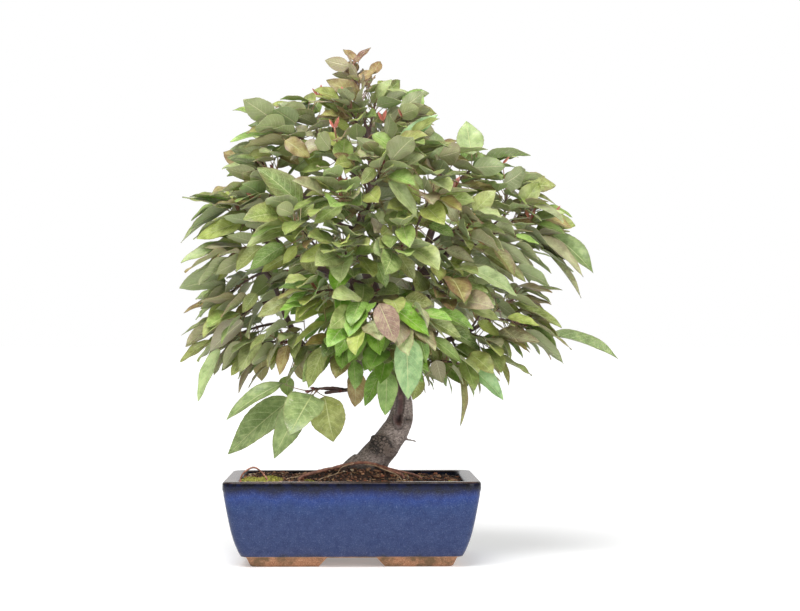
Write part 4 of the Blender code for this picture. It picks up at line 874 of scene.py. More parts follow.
def make_spurs(paths, twigs):
    """Short leafy spurs along every branch and the upper trunk, each counted to the nearest spray."""
    spurs = []
    for number, (branch, path) in enumerate(sorted(paths.items())):
        draw = random.Random(SEEDS["spur"] + number)
        for share in SPUR_SHARES:
            start, radius = along(path, share)
            outward = Vector((start.x - TRUNK_X * MM, start.y, 0)) * 8 + scattered(draw, 1)
            end = start + (outward.normalized() + UP * 0.35) * draw.uniform(*SPUR_REACH) * MM
            knots = [(part, bowed(start, (start + end) / 2, end, part)) for part in TWIG_KNOTS]
            home = min(twigs, key=lambda twig: (twig.tip - end).length).name
            spurs.append(SimpleNamespace(name=f"{branch}_{share}", knots=knots, tip=end, reach=(end - start).length,
                                         taken=[], radii=(min(1.4, radius * 0.8), 0.9), count=SPUR_LEAVES,
                                         size=SPUR_SIZE * MM, home=home))
    return spurs


def further_leaf(twig, draw, attempt):
    """One further leaf by rule, or None where it would reach outside the crown."""
    share, turn = draw.uniform(*FILL_SHARE), draw.uniform(0, 2 * math.pi)
    leaf = shaped_leaf(twig, share, turn, draw, attempt, FILL_SIZE, FILL_STALK)
    return leaf if inside_frame(leaf) else None


def fill_in_leaves(twigs, crowd, leaves):
    """The many further leaves that only the picture needs, set where there is still room."""
    for number, twig in enumerate(twigs):
        draw = random.Random(SEEDS["fill"] + number)
        for _ in range(min(FILL_LEAVES, twig.count)):
            tries = (further_leaf(twig, draw, attempt) for attempt in range(FILL_TRIES))
            set_first_that_fits(crowd, leaves, FILL_CLEARANCE, tries)


def young_leaves(twigs, leaves):
    """The small red leaves that unfold at twigs' ends and, in the front view, where they show."""
    for number, twig in enumerate(twigs):
        draw = random.Random(SEEDS["young"] + number)
        run = twig_run(twig, 0.99)
        lean = Matrix.Rotation(number, 3, run) @ run.orthogonal().normalized()
        stalk = (run + lean * draw.uniform(0.25, 0.8) + UP * 0.9).normalized()
        base = twig.tip + stalk * draw.uniform(1.5, 4) * MM
        tip = base + stalk * draw.uniform(*YOUNG_LENGTH) * MM
        young = new_leaf(twig, 1.0, base, tip, TOWARD_VIEWER * 0.2 - lean, 0.34, YOUNG_BEND, YOUNG_FOLD)
        if inside_frame(young):
            young.seen_at = YOUNG
            leaves.append(young)
    for number, (x0, y0, x1, y1, depth) in enumerate(SHOOTS):
        draw = random.Random(SEEDS["shoot"] + number)
        base, tip = seen(x0, y0, depth), seen(x1, y1, depth + draw.uniform(-3, 3))
        _, twig, share = nearest_twig(twigs, base)
        face = TOWARD_VIEWER + UP * draw.uniform(-0.4, 0.8)
        young = new_leaf(twig, share, base, tip, face, draw.uniform(0.30, 0.42), SHOOT_BEND, SHOOT_FOLD)
        young.seen_at = YOUNG
        leaves.append(young)


def half_width(along):
    """An apple leaf's outline: its half-width by share of length, rounded at the foot, drawn out at the tip."""
    return np.interp(along, *zip(*LEAF_OUTLINE))


def blade_sheet(leaf, draw):
    """The middle surface of one fine blade and the direction that its upper face looks in."""
    along = np.linspace(0, 1, LEAF_ROWS + 1)[:, None]
    across = np.linspace(-1, 1, LEAF_COLUMNS + 1)[None, :]
    angle = leaf.bend * along
    run = leaf.length * np.sin(angle) / leaf.bend
    drop = leaf.length * (1 - np.cos(angle)) / leaf.bend
    heading, normal, side = (np.array(v) for v in (leaf.heading, leaf.normal, leaf.side))
    base = np.array(leaf.base)
    arc = base + run[..., None] * heading - drop[..., None] * normal
    chord = base + (arc[-1] - base) * along[..., None]
    up = np.cos(angle)[..., None] * normal + np.sin(angle)[..., None] * heading
    size = np.abs(across)
    # The edges keep to the arc, and the midrib lies nearer to its chord
    arc = arc + (chord - arc) * (0.55 * (1 - size))[..., None]
    # Half-widths, with a toothed edge and one half a little wider than the other
    teeth = 1 + TOOTH_SHARE * (np.arange(LEAF_ROWS + 1) % 2)[:, None] * (size > 0.99)
    lean = 1 + draw.uniform(-0.06, 0.06) * np.sign(across)
    half = half_width(along) * size * leaf.width / 2 * teeth * lean
    # The halves fold up from the midrib, less toward the tip, with a wavy edge that curls down
    fold = leaf.fold * (1.25 - 0.7 * size * along)
    rise = half * np.sin(fold)
    wave = draw.uniform(0.3, 1.0) * 0.045 * leaf.width
    turns = draw.uniform(1.6, 2.8)
    phases = np.where(across < 0, draw.uniform(0, 6.3), draw.uniform(0, 6.3))
    rise = rise + wave * size ** 2 * np.sin(2 * np.pi * turns * along + phases)
    rise = rise - 0.10 * leaf.width * draw.uniform(0.2, 1.0) * size ** 2 * half_width(along)
    # The blade puffs up between its side veins
    rise = rise + 0.012 * leaf.width * np.sin(2 * np.pi * (8 * along - 2.2 * size)) * size * (1 - size)
    # The whole blade twists a little toward its tip
    twist = draw.uniform(-0.25, 0.25) * along
    reach = np.sign(across) * half * np.cos(fold)
    sheet = (arc + (reach * np.cos(twist) - rise * np.sin(twist))[..., None] * side
             + (rise * np.cos(twist) + reach * np.sin(twist))[..., None] * up)
    return sheet, np.broadcast_to(up, sheet.shape), along, across


class Gathered:
    """Points, faces and per-point values that are gathered into one mesh."""

    def __init__(self, layers):
        self.points, self.faces, self.slots = [], [], []
        self.layers = {layer: [] for layer in layers}
        self.count = 0

    def take(self, points, faces, slot=0, **values):
        """Add points (n x 3) with faces counted from 0, and a value or a row of values for each layer."""
        points = np.asarray(points, dtype=float).reshape(-1, 3)
        self.points.append(points)
        self.faces.append(np.asarray(faces) + self.count)
        self.slots += [slot] * len(faces)
        for layer, rows in self.layers.items():
            rows.append(np.broadcast_to(np.asarray(values.get(layer, (0, 0, 0)), dtype=float), points.shape))
        self.count += len(points)

    def tube(self, path, sides, slot=0, turn=0.0, **values):
        """Add a tube along (point, radius) pairs."""
        self.take([tuple(point) for point in ring_points(path, sides, turn)], tube_faces(len(path), sides), slot,
                  **values)

    def mesh(self, name, sharp=60):
        """One mesh of everything taken, shaded smooth but for edges sharper than that angle in degrees."""
        mesh = bpy.data.meshes.new(name)
        faces = [tuple(face) for group in self.faces for face in group.tolist()]
        mesh.from_pydata(np.concatenate(self.points).tolist(), [], faces)
        mesh.polygons.foreach_set("material_index", self.slots)
        mesh.shade_smooth()
        if sharp:
            mesh.set_sharp_from_angle(angle=math.radians(sharp))
        for layer, rows in self.layers.items():
            values = mesh.attributes.new(layer, "FLOAT_VECTOR", "POINT")
            values.data.foreach_set("vector", np.concatenate(rows).astype(np.float32).ravel())
        return mesh


def grid_faces(rows, columns, start=0, turned=False):
    """Quads over a grid of points, or the same ones facing the other way."""
    faces = []
    for row in range(rows):
        for column in range(columns):
            a = start + row * (columns + 1) + column
            face = (a, a + 1, a + columns + 2, a + columns + 1)
            faces.append(face[::-1] if turned else face)
    return faces


def leaf_faces():
    """The faces of a fine leaf: its upper sheet, its lower sheet and the band round its edge."""
    rows, columns = LEAF_ROWS, LEAF_COLUMNS
    count = (rows + 1) * (columns + 1)
    faces = grid_faces(rows, columns) + grid_faces(rows, columns, count, True)
    rim = ([column for column in range(columns + 1)]
           + [row * (columns + 1) + columns for row in range(1, rows + 1)]
           + [rows * (columns + 1) + column for column in reversed(range(columns))]
           + [row * (columns + 1) for row in reversed(range(1, rows))])
    for a, b in zip(rim, rim[1:] + rim[:1]):
        faces.append((b, a, a + count, b + count))
    return faces


def ring_points(path, sides, turn=0.0):
    """Rings of points round a path of (point, radius in mm) pairs, carried along it without twisting."""
    points = []
    across = None
    for index, (place, radius) in enumerate(path):
        ahead = (path[min(index + 1, len(path) - 1)][0] - path[max(index - 1, 0)][0]).normalized()
        across = ahead.orthogonal() if across is None else across - ahead * across.dot(ahead)
        across.normalize()
        other = ahead.cross(across)
        for side in range(sides):
            angle = 2 * math.pi * side / sides + turn
            points.append(place + (across * math.cos(angle) + other * math.sin(angle)) * radius * MM)
    return points


def tube_faces(rings, sides):
    """Quads between rings of as many points each."""
    faces = []
    for ring in range(rings - 1):
        for side in range(sides):
            a, b = ring * sides + side, ring * sides + (side + 1) % sides
            faces.append((a, b, b + sides, a + sides))
    return faces


def stalk_path(leaf):
    """A leaf's stalk, thin, a little bowed, and a touch thicker where it leaves the twig."""
    sag = (leaf.base - leaf.root).length * 0.10
    bow = (leaf.root + leaf.base) / 2 - UP * sag
    ahead = leaf.base + leaf.heading * leaf.length * 0.05
    places = [bowed(leaf.root, bow, leaf.base, share) for share in (0, 0.1, 0.3, 0.55, 0.8, 1)] + [ahead]
    return list(zip(places, (0.95, 0.62, 0.5, 0.46, 0.46, 0.5, 0.2)))


def smooth_twig(twig, skip):
    """The twig's path drawn smooth between its knots, less a share where the branch's stub carries it."""
    points = twig_curve(twig)
    thick, thin = twig.radii
    path = []
    for index, place in enumerate(points):
        share = index / (len(points) - 1)
        knot = 1 + 0.14 * math.sin(index * 2.4)
        path.append((place, (thick + (thin - thick) * share) * knot))
    return path[int(len(path) * skip):]


def leaf_tint(leaf, draw):
    """A leaf's colour by its place in the crown, how far it is flushed, and how crisp its veins show."""
    flush, crisp = draw.uniform(0.0, 0.35), draw.uniform(0.25, 1.0)
    x, y, z = leaf.base
    low, middle = held((LIME_BELOW - z) / LIME_DEEP), held(1 - abs(x - LIME_MIDDLE) / LIME_WIDE)
    lime = low * middle * held((LIME_FRONT - y) / LIME_REACH)
    outer = held(math.hypot(x / CROWN_REACH[0], (z - CROWN_MIDDLE) / CROWN_REACH[1]))
    pick = draw.random()
    if leaf.seen_at == YOUNG:
        return mixed("red_young", "wine", draw.uniform(0.0, 0.7)), (0.2, 0.3, 0)
    if leaf.seen_at in SINGLE_TINTS or leaf.spray in SINGLE_TINTS:
        name = SINGLE_TINTS.get(leaf.seen_at) or SINGLE_TINTS[leaf.spray]
        return linear(TINTS[name]), (0.08, crisp, 0)
    if z > BRONZE_ABOVE:
        return mixed("bronze", "wine", draw.uniform(0.0, 0.75)), (0.6, crisp, 0)
    # Low in the middle, lime is painted light shining through the leaves
    if pick < 0.85 * lime:
        return mixed("lime", "fresh_green", draw.uniform(0, 0.8)), (0.05, crisp, 0)
    if pick > 1 - 0.24 * outer:
        return mixed("bronze", "olive", draw.uniform(0.0, 0.9)), (draw.uniform(0.5, 1.0), crisp, 0)
    if pick > 0.88 - 0.24 * outer:
        return mixed("sage", "dull_purple", draw.uniform(0.1, 0.8)), (draw.uniform(0.2, 0.8), crisp, 0)
    if draw.random() < 0.02:
        return mixed("dry_tan", "yellow_green", draw.uniform(0.0, 0.6)), (draw.uniform(0.3, 1.0), crisp, 0)
    other = draw.choice(("sage", "fresh_green", "fresh_green", "deep_green", "yellow_green"))
    return mixed("olive", other, draw.uniform(0.1, 0.95)), (flush + (0.35 * outer if pick > 0.45 else 0), crisp, 0)


def dress_sprays(twigs, spurs, leaves, finishes):
    """A fine piece for each spray: leaves on their stalks, the twig that carries them, and the spurs near it."""
    blade_faces = leaf_faces()
    for number, twig in enumerate(twigs):
        draw = random.Random(SEEDS["blade"] + number)
        spray = Gathered(("leaf_place", "leaf_colour", "leaf_own"))
        family = [twig] + [spur for spur in spurs if spur.home == twig.name]
        names = {member.name for member in family}
        for leaf in (leaf for leaf in leaves if leaf.spray in names):
            sheet, up, along, across = blade_sheet(leaf, draw)
            lift = up * LEAF_SKIN * MM / 2
            places = np.stack([np.broadcast_to(across, sheet.shape[:2]), np.broadcast_to(along, sheet.shape[:2]),
                               np.ones(sheet.shape[:2])], axis=-1).reshape(-1, 3)
            under = places * (1, 1, 0)
            tint, own = leaf_tint(leaf, draw)
            tint = np.array(tint) * draw.uniform(0.84, 1.22)
            spray.take(np.concatenate([(sheet + lift).reshape(-1, 3), (sheet - lift).reshape(-1, 3)]),
                       blade_faces, 0, leaf_place=np.concatenate([places, under]), leaf_colour=tint, leaf_own=own)
            spray.tube(stalk_path(leaf), 6, 1, leaf_place=(0, 0, 0.5), leaf_colour=tint)
        for member in family:
            ahead = twig_run(member, 0.99) * MM
            spray.tube(smooth_twig(member, HIDDEN_SHARE if member is twig else 0.0), 8, 2)
            spray.tube([(member.tip + ahead * far, radius) for far, radius in BUD], 8, 3)
        settle("leaves_" + twig.name, spray.mesh("leaves_" + twig.name), finishes, "spray_" + twig.name,
               slot=frame_slot("spray_" + twig.name))


def frame_slot(node):
    """The record's material slot of a node."""
    return next(entry["material_slot"] for entry in frame["record"]["subparts"] if entry["node"] == node)


def settle(name, mesh, finishes, *nodes, slot=None):
    """Move a mesh onto the frame as a piece of the object, in place of the nodes that it stands for."""
    mesh.transform(Matrix.Translation(SHIFT))
    for finish in finishes:
        mesh.materials.append(finish)
    piece = put(name, mesh)
    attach(piece, "root")
    if nodes:
        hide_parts(*nodes)


def worked(mesh, *modifiers):
    """The mesh after a run of modifiers, each given as (type, settings)."""
    thing = put("work", mesh)
    for kind, settings in modifiers:
        modifier = thing.modifiers.new(kind, kind)
        for key, value in settings.items():
            setattr(modifier, key, value)
    graph = bpy.context.evaluated_depsgraph_get()
    result = bpy.data.meshes.new_from_object(thing.evaluated_get(graph))
    bpy.data.objects.remove(thing, do_unlink=True)
    return result


def closed_tube(shape, path, sides):
    """Add a capped tube along (point, radius) pairs to a bmesh."""
    corners = [shape.verts.new(point) for point in ring_points(path, sides)]
    for face in tube_faces(len(path), sides):
        shape.faces.new([corners[corner] for corner in face])
    shape.faces.new(list(reversed(corners[:sides])))
    shape.faces.new(corners[-sides:])


def smooth_path(path, steps):
    """(point, radius) pairs drawn smooth through the given ones."""
    rows = flowing([(*place, radius) for place, radius in path], steps)
    return [(Vector(row[:3]), row[3]) for row in rows]


def knobbly(path, draw):
    """A branch's path with the swellings and slight kinks of a twig that has been pruned back."""
    return [(place + scattered(draw, 1) * radius * MM * 0.10, radius * (1 + draw.uniform(-0.08, 0.14)))
            for place, radius in path]


def wood_mesh(paths, twigs):
    """Trunk, branches and twig stubs melted into one skin, then worked into bark."""
    shape = bmesh.new()
    draw = random.Random(SEEDS["wood"])
    closed_tube(shape, smooth_path(paths["trunk"], 4), 20)
    for name in BRANCHES:
        closed_tube(shape, knobbly(smooth_path(paths[name], 4), draw), 12)
    for twig in twigs:
        curve = twig_curve(twig)
        closed_tube(shape, [(place, twig.radii[0]) for place in curve[:int(len(curve) * MELTED_SHARE)]], 8)
    closed_tube(shape, spine(DEAD_STUB), 8)
    for foot in ROOT_FLARES:
        closed_tube(shape, smooth_path(spine(foot), 3), 10)
    mesh = bpy.data.meshes.new("wood")
    shape.to_mesh(mesh)
    shape.free()
    skin = worked(mesh, ("REMESH", {"mode": "VOXEL", "voxel_size": WOOD_VOXEL * MM, "use_smooth_shade": True}),
                  ("SMOOTH", {"factor": 0.5, "iterations": 3}))
    carve_bark(skin)
    skin.shade_smooth()
    return skin


def carve_bark(mesh):
    """Work the bark: wrinkles, the scaly scar, the smooth seam with its hollow foot, and a knot, with shade painted
    into their hollows and grooves.
    """
    scar, lump_place, knot, hollow = (mm(*row[:3]) for row in (SCAR, SCAR_LUMP, KNOT, HOLLOW))
    heights, middles = zip(*SEAM)
    trunk = spine(flowing(TRUNK, 2))
    shape = bmesh.new()
    shape.from_mesh(mesh)
    shape.normal_update()
    moves, zones = [], []
    for vertex in shape.verts:
        place, normal = vertex.co, vertex.normal
        # Thick wood is wrinkled most. Only near the trunk is the thickness looked up
        radius = 2.0
        if place.z < 0.26 and abs(place.x - 0.030) < 0.045 and abs(place.y) < 0.030:
            radius = min(((place - middle).length, thick) for middle, thick in trunk)[1]
        rough = min(radius / 14, 1.0)
        lift = 0.7 * rough * noise.noise(place * 80) + 0.30 * rough * noise.noise(place * 330)
        lift += 0.12 * noise.noise(place * 800)
        # Thin wood is smooth and red-brown all over
        seam, scaly, dark = 0.85 * held((7.5 - radius) / 3), 0.0, 0.0
        # The scar: a rolled lip round scales, with a lump on it
        away = place - scar
        if away.length < 0.024 and normal.dot(SCAR_FACING) > -0.2:
            across = (away - SCAR_FACING * away.dot(SCAR_FACING)).length / MM
            inside = 1 / (1 + math.exp((across - SCAR[3]) / 0.7))
            scales = noise.noise(Vector((across * 0.55, place.z * 260, place.x * 260)))
            lift += inside * (1.6 + 1.6 * scales) + 1.1 * bell((across - SCAR[3]) / 1.2)
            lump = bell((place - lump_place).length / MM / SCAR_LUMP[3])
            lift += 2.6 * lump
            scaly = min(1.0, inside + lump)
        if normal.y < 0.1 and 0.125 < place.z < 0.225 and place.y < 0.004:
            # The seam: a sunken smooth strip between two raised edges
            off = (place.x / MM - np.interp(place.z / MM, heights, middles)) / SEAM_HALF
            ends = held((place.z / MM - SEAM_ENDS[0]) / 8) * held((SEAM_ENDS[1] - place.z / MM) / 14)
            seam = max(seam, ends * bell(off, 4))
            lift += ends * (1.2 * bell((abs(off) - 1.25) / 0.3) - 0.9 * bell(off))
            # The hollow at its foot, with a lip below
            dent = math.hypot((place.x - hollow.x) / MM / HOLLOW[3], (place.z - hollow.z) / MM / HOLLOW[4])
            lip = bell((dent - 1.9) / 0.45) * (place.z < hollow.z + 0.004)
            lift += 2.0 * lip - 4.2 * bell(dent)
            seam = max(seam, 0.9 * bell(dent / 2.0, 4))
            # Painted shade: dark along the seam's grooves, deep in the hollow and in a band under its lip
            dark = max(0.75 * ends * bell((abs(off) - 1.0) / 0.2), 0.95 * bell(dent),
                       0.7 * bell((dent - 2.6) / 0.3) * (place.z < hollow.z + 0.002))
            # The knot beside it: a ring round a dimple
            ring = math.hypot(place.x - knot.x, place.z - knot.z) / MM
            lift += 1.4 * bell((ring - KNOT[3]) / 0.8) - 1.8 * bell(ring / 1.5)
            scaly = max(scaly, 0.8 * bell(ring / KNOT[3] / 1.1, 4))
            # Painted shade in the knot's dimple and round the outside of its ring
            dark = max(dark, 0.8 * bell(ring / 1.3), 0.6 * bell((ring - KNOT[3] - 1) / 0.5))
        # The wood darkens toward its foot, below a wavy line near the soil
        dark = max(dark, 0.8 * held((DARK_FOOT_TOP + 3 * noise.noise(place * 120) - place.z / MM) / 5))
        moves.append(normal * lift * MM)
        zones.append((seam, scaly, dark))
    for vertex, move in zip(shape.verts, moves):
        vertex.co += move
    shape.to_mesh(mesh)
    shape.free()
    zone = mesh.attributes.new("bark_zone", "FLOAT_VECTOR", "POINT")
    zone.data.foreach_set("vector", np.array(zones, dtype=np.float32).ravel())


def ring_of(inset, height):
    """A level of the pot, its corners rounded and its long sides cut as often as the corners."""
    half_x, half_y = POT_HALF_X - inset, POT_HALF_Y - inset
    radius = max(5, POT_CORNER - 0.25 * inset)
    corners = []
    for corner, (sx, sy) in enumerate(((1, 1), (-1, 1), (-1, -1), (1, -1))):
        for step in range(CORNER_CUTS + 1):
            angle = (corner + step / CORNER_CUTS) * math.pi / 2
            corners.append((sx * (half_x - radius) + radius * math.cos(angle),
                            sy * (half_y - radius) + radius * math.sin(angle), height))
    points = []
    for index, corner in enumerate(corners):
        points.append(corner)
        if index % (CORNER_CUTS + 1) == CORNER_CUTS:
            after = corners[(index + 1) % len(corners)]
            points += [tuple(a + (b - a) * step / SIDE_CUTS for a, b in zip(corner, after))
                       for step in range(1, SIDE_CUTS)]
    return [mm(*point) for point in points]


def lofted(rings):
    """A closed mesh through a run of rings with as many points each."""
    count = len(rings[0])
    points = [point for ring in rings for point in ring]
    faces = [tuple(reversed(range(count))), tuple(range(len(points) - count, len(points)))]
    faces += tube_faces(len(rings), count)
    mesh = bpy.data.meshes.new("loft")
    mesh.from_pydata([tuple(point) for point in points], [], faces)
    return mesh


def hulled(points):
    """The convex solid round a few points, as an object to cut with."""
    shape = bmesh.new()
    for point in points:
        shape.verts.new(point)
    bmesh.ops.convex_hull(shape, input=shape.verts)
    bmesh.ops.recalc_face_normals(shape, faces=shape.faces)
    mesh = bpy.data.meshes.new("cutter")
    shape.to_mesh(mesh)
    shape.free()
    return put("cutter", mesh)


def box_corners(low, high):
    """The corners of a box, from its low and high corner in mm."""
    return [mm(x, y, z) for x in (low[0], high[0]) for y in (low[1], high[1]) for z in (low[2], high[2])]


def arch_corners(halves, length, along_x):
    """The corners of the gap between two feet, narrower at its top, right through the pot."""
    top, bottom = halves
    outline = ((-bottom, -1), (bottom, -1), (top, FOOT_TOP), (-top, FOOT_TOP))
    return [mm(end, a, z) if along_x else mm(a, end, z) for end in (-length, length) for a, z in outline]


def pot_mesh():
    """The glazed pot, turned up smooth from its foot to its lipped rim, with gaps between its feet."""
    rings = [ring_of(inset, height) for height, inset in POT_PROFILE]
    recess = box_corners((-RECESS_HALF_X, -RECESS_HALF_Y, -1), (RECESS_HALF_X, RECESS_HALF_Y, RECESS_HEIGHT))
    cutters = [hulled(recess),
               hulled(arch_corners(FRONT_ARCH, POT_HALF_Y + 5, False)),
               hulled(arch_corners(SIDE_ARCH, POT_HALF_X + 5, True))]
    for side in (-1, 1):
        cutters.append(hulled([mm(side * DRAIN_X + DRAIN_RADIUS * math.cos(k * math.pi / 16),
                                  DRAIN_RADIUS * math.sin(k * math.pi / 16), z)
                               for k in range(32) for z in (-2, FLOOR_HEIGHT + 2)]))
    group = bpy.data.collections.new("cutters")
    bpy.context.scene.collection.children.link(group)
    for cutter in cutters:
        group.objects.link(cutter)
    mesh = worked(lofted(rings), ("BOOLEAN", {"operation": "DIFFERENCE", "operand_type": "COLLECTION",
                                              "collection": group, "solver": "EXACT"}))
    for cutter in cutters:
        bpy.data.objects.remove(cutter, do_unlink=True)
    bpy.data.collections.remove(group)
    mesh.materials.clear()
    for face in mesh.polygons:
        face.material_index = 1 if face.center.z < GLAZE_LINE * MM else 0
    mesh.shade_smooth()
    mesh.set_sharp_from_angle(angle=math.radians(38))
    return mesh


def soil_height(x, y):
    """Height in mm of the soil at a place in mm: level, low waves, and a mound at the trunk."""
    mx, my, rise, wide_x, wide_y = MOUND
    mound = rise * math.exp(-((x - mx) / wide_x) ** 2 / 2 - ((y - my) / wide_y) ** 2 / 2)
    waves = 0.9 * math.sin(x * 0.11 + y * 0.07) + 0.7 * math.sin(y * 0.13 - x * 0.05 + 1.3)
    return SOIL_LEVEL - SOIL_FALL * x + mound + waves


def soil_mesh():
    """The packed soil: a fill that follows the pot's hollow, its top lumpy right up to the wall."""
    rings = [ring_of(inset, height) for height, inset in SOIL_FOOT]
    edge = ring_of(SOIL_EDGE, SOIL_LEVEL)
    for step in range(SOIL_RINGS):
        share = 1 - step / SOIL_RINGS
        ring = []
        for point in edge:
            x, y = point.x / MM * share, point.y / MM * share
            lump = 1.1 * noise.noise(Vector((x, y, 3)) * 0.16) + 0.6 * noise.noise(Vector((x, y, 9)) * 0.5)
            ring.append(mm(x, y, soil_height(x, y) + lump - 0.8))
        rings.append(ring)
    mesh = lofted(rings)
    mesh.shade_smooth()
    return mesh


def in_moss(x, y):
    """Whether a place in mm lies well inside a patch of moss."""
    return any(((x - mx) / (wide - MOSS_RIM)) ** 2 + ((y - my) / (deep - MOSS_RIM)) ** 2 < 1
               for mx, my, wide, deep in MOSS_PATCHES)


def grains_mesh():
    """Loose grains on the soil: fired clay, bark and pumice, from crumbs to chips of several millimetres."""
    grains = Gathered(("grain_colour",))
    shape = bmesh.new()
    bmesh.ops.create_icosphere(shape, subdivisions=1, radius=1)
    ball = np.array([tuple(vertex.co) for vertex in shape.verts])
    faces = [tuple(vertex.index for vertex in face.verts) for face in shape.faces]
    shape.free()
    draw = random.Random(SEEDS["grain"])
    rng = np.random.default_rng(SEEDS["grain"])
    corner_x, corner_y, corner = FIELD_CORNER
    set_down = 0
    while set_down < GRAINS:
        x, y = (draw.uniform(-half, half) for half in GRAIN_FIELD)
        if abs(x) > corner_x and abs(y) > corner_y and math.hypot(abs(x) - corner_x, abs(y) - corner_y) > corner:
            continue
        if math.hypot(x - TRUNK_X, y) < TRUNK_GAP or in_moss(x, y):
            continue
        size = min(max(draw.lognormvariate(0.05, 0.42), 0.5), 3.0)
        if draw.random() < CHIP_SHARE:
            size *= 1.5
        stretch = np.array([size * draw.uniform(*part) for part in ((0.8, 1.5), (0.7, 1.1), (0.45, 0.8))])
        turn = Matrix.Rotation(draw.uniform(0, 6.3), 3, "Z") @ Matrix.Rotation(draw.uniform(-0.6, 0.6), 3, "X")
        lumps = ball * (1 + rng.uniform(-0.16, 0.16, (len(ball), 1)))
        grain = (lumps * stretch) @ np.array(turn).T
        z = soil_height(x, y) + 0.35 * size * draw.uniform(0.0, 1.0)
        name = draw.choices(list(GRAIN_SHARES), list(GRAIN_SHARES.values()))[0]
        colour = np.array(linear(TINTS[name])) * draw.uniform(0.8, 1.5)
        grains.take((grain + (x, y, z)) * MM, faces, 0, grain_colour=colour)
        set_down += 1
    for _ in range(LITTER):
        x, y = (draw.uniform(-half, half) for half in LITTER_FIELD)
        if math.hypot(x - TRUNK_X, y) < LITTER_GAP:
            continue
        turn, reach = draw.uniform(0, 6.3), draw.uniform(2.5, 8)
        dx, dy = math.cos(turn) * reach / 2, math.sin(turn) * reach / 2
        ends = [(mm(x + s * dx, y + s * dy, soil_height(x + s * dx, y + s * dy) + 1.6 + draw.uniform(0, 1.2)),
                 0.35 if abs(s) == 1 else 0.5) for s in (-1, 0, 1)]
        grains.tube(ends, 5, grain_colour=mixed("straw", "bark_chip", draw.uniform(0, 1)))
    return grains.mesh("soil_grains", 30)


def moss_mesh():
    """Moss: cushions of upright tufts, thickest in the left front corner."""
    moss = Gathered(("grain_colour",))
    draw = random.Random(SEEDS["moss"])
    for mx, my, wide, deep in MOSS_PATCHES:
        for _ in range(int(MOSS_TUFTS * wide * deep)):
            angle, share = draw.uniform(0, 2 * math.pi), math.sqrt(draw.random())
            x, y = mx + math.cos(angle) * share * wide, my + math.sin(angle) * share * deep
            dome = (1 - share ** 2) * min(wide, deep) * 0.30
            z = soil_height(x, y) + dome + 0.4
            tall = draw.uniform(1.0, 2.4)
            lean = Vector((draw.uniform(-0.5, 0.5), draw.uniform(-0.5, 0.5), 1)).normalized()
            foot = mm(x, y, z - 1.2)
            path = [(foot, 0.75), (foot + lean * tall * 0.6 * MM, 0.6), (foot + lean * (tall + 1.2) * MM, 0.12)]
            colour = mixed("moss_lit", "moss_deep", draw.random())
            moss.tube(path, 5, 0, draw.uniform(0, 6), grain_colour=colour)
    return moss.mesh("moss", 0)


def root_mesh(rows, seed):
    """Thin woody roots that run over the soil, kinked and knotted."""
    roots = Gathered(())
    draw = random.Random(seed)
    for radius, places in rows:
        path = smooth_path([(mm(*place), radius) for place in places], 7)
        roots.tube([(place + scattered(draw, 0.16) * MM, thick * draw.uniform(0.86, 1.18))
                    for place, thick in path], 9)
    return roots.mesh("roots", 0)


def cobalt_glaze():
    """Stoneware glaze fired to a glass: cobalt blue, deepest under the rim, breaking to near black along it."""
    made, tree, shader = started("cobalt glaze on stoneware")
    place = add(tree, "TexCoord", {}, "Object")
    height = add(tree, "SeparateXYZ", {0: place}, "Z")
    hung = add(tree, "Mapping", {"Vector": place, "Scale": (1.0, 1.0, 0.35)})
    run = add(tree, "TexNoise", {"Vector": hung, "Scale": per_mm(26), "Detail": 4.0, "Roughness": 0.6})
    speck = add(tree, "TexNoise", {"Vector": place, "Scale": per_mm(1.1), "Detail": 3.0, "Roughness": 0.75})
    mottle = add(tree, "TexNoise", {"Vector": place, "Scale": per_mm(7), "Detail": 4.0, "Roughness": 0.65})
    # The glaze runs: its bands wander up and down by a few millimetres
    drawn = add(tree, "Math", {0: run, 1: 0.018, 2: height}, operation="MULTIPLY_ADD")
    band = add(tree, "MapRange", {0: drawn, 1: 0.018, 2: 0.098})
    body = add(tree, "ValToRGB", {0: band}, stops=(
        (0.0, "#14161f"), (0.05, "#222c50"), (0.14, "#1a2b52"), (0.50, "#152a54"), (0.66, "#0c2b5a"),
        (0.77, "#042968"), (0.835, "#031646"), (0.875, "#05040d"), (1.0, "#050405")))
    fleck = add(tree, "ValToRGB", {0: speck}, stops=((0.36, "#38393f"), (0.55, "#484d64"), (0.72, "#8890ac")))
    under_rim = add(tree, "MapRange", {0: height, 1: 0.084, 2: 0.075, 3: 0.02, 4: 0.40})
    colour = add(tree, "Mix", {0: under_rim, 6: body, 7: fleck}, 2, data_type="RGBA", blend_type="SCREEN")
    dim = add(tree, "MapRange", {0: mottle, 1: 0.42, 2: 0.64, 3: 0.0, 4: 0.35})
    # Worn thin on the crest of the rim, where the clay shows through brown
    crest = add(tree, "MapRange", {0: height, 1: 0.0852, 2: 0.0870, 3: 0.0, 4: 0.9})
    worn = add(tree, "ValToRGB", {0: mottle}, stops=((0.36, "#241a16"), (0.62, "#5c4638")))
    for share, layer in ((dim, "#16204a"), (crest, worn)):
        colour = add(tree, "Mix", {0: share, 6: colour, 7: layer}, 2, data_type="RGBA")
    swell = add(tree, "TexNoise", {"Vector": place, "Scale": per_mm(16), "Detail": 2.0})
    relief = add(tree, "Math", {0: speck, 1: 0.10, 2: swell}, operation="MULTIPLY_ADD")
    plug(tree, shader, {
        "Base Color": colour, "Roughness": 0.22, "Specular IOR Level": 0.15,
        "Normal": add(tree, "Bump", {"Height": relief, "Strength": 0.3, "Distance": 0.0007})})
    return made


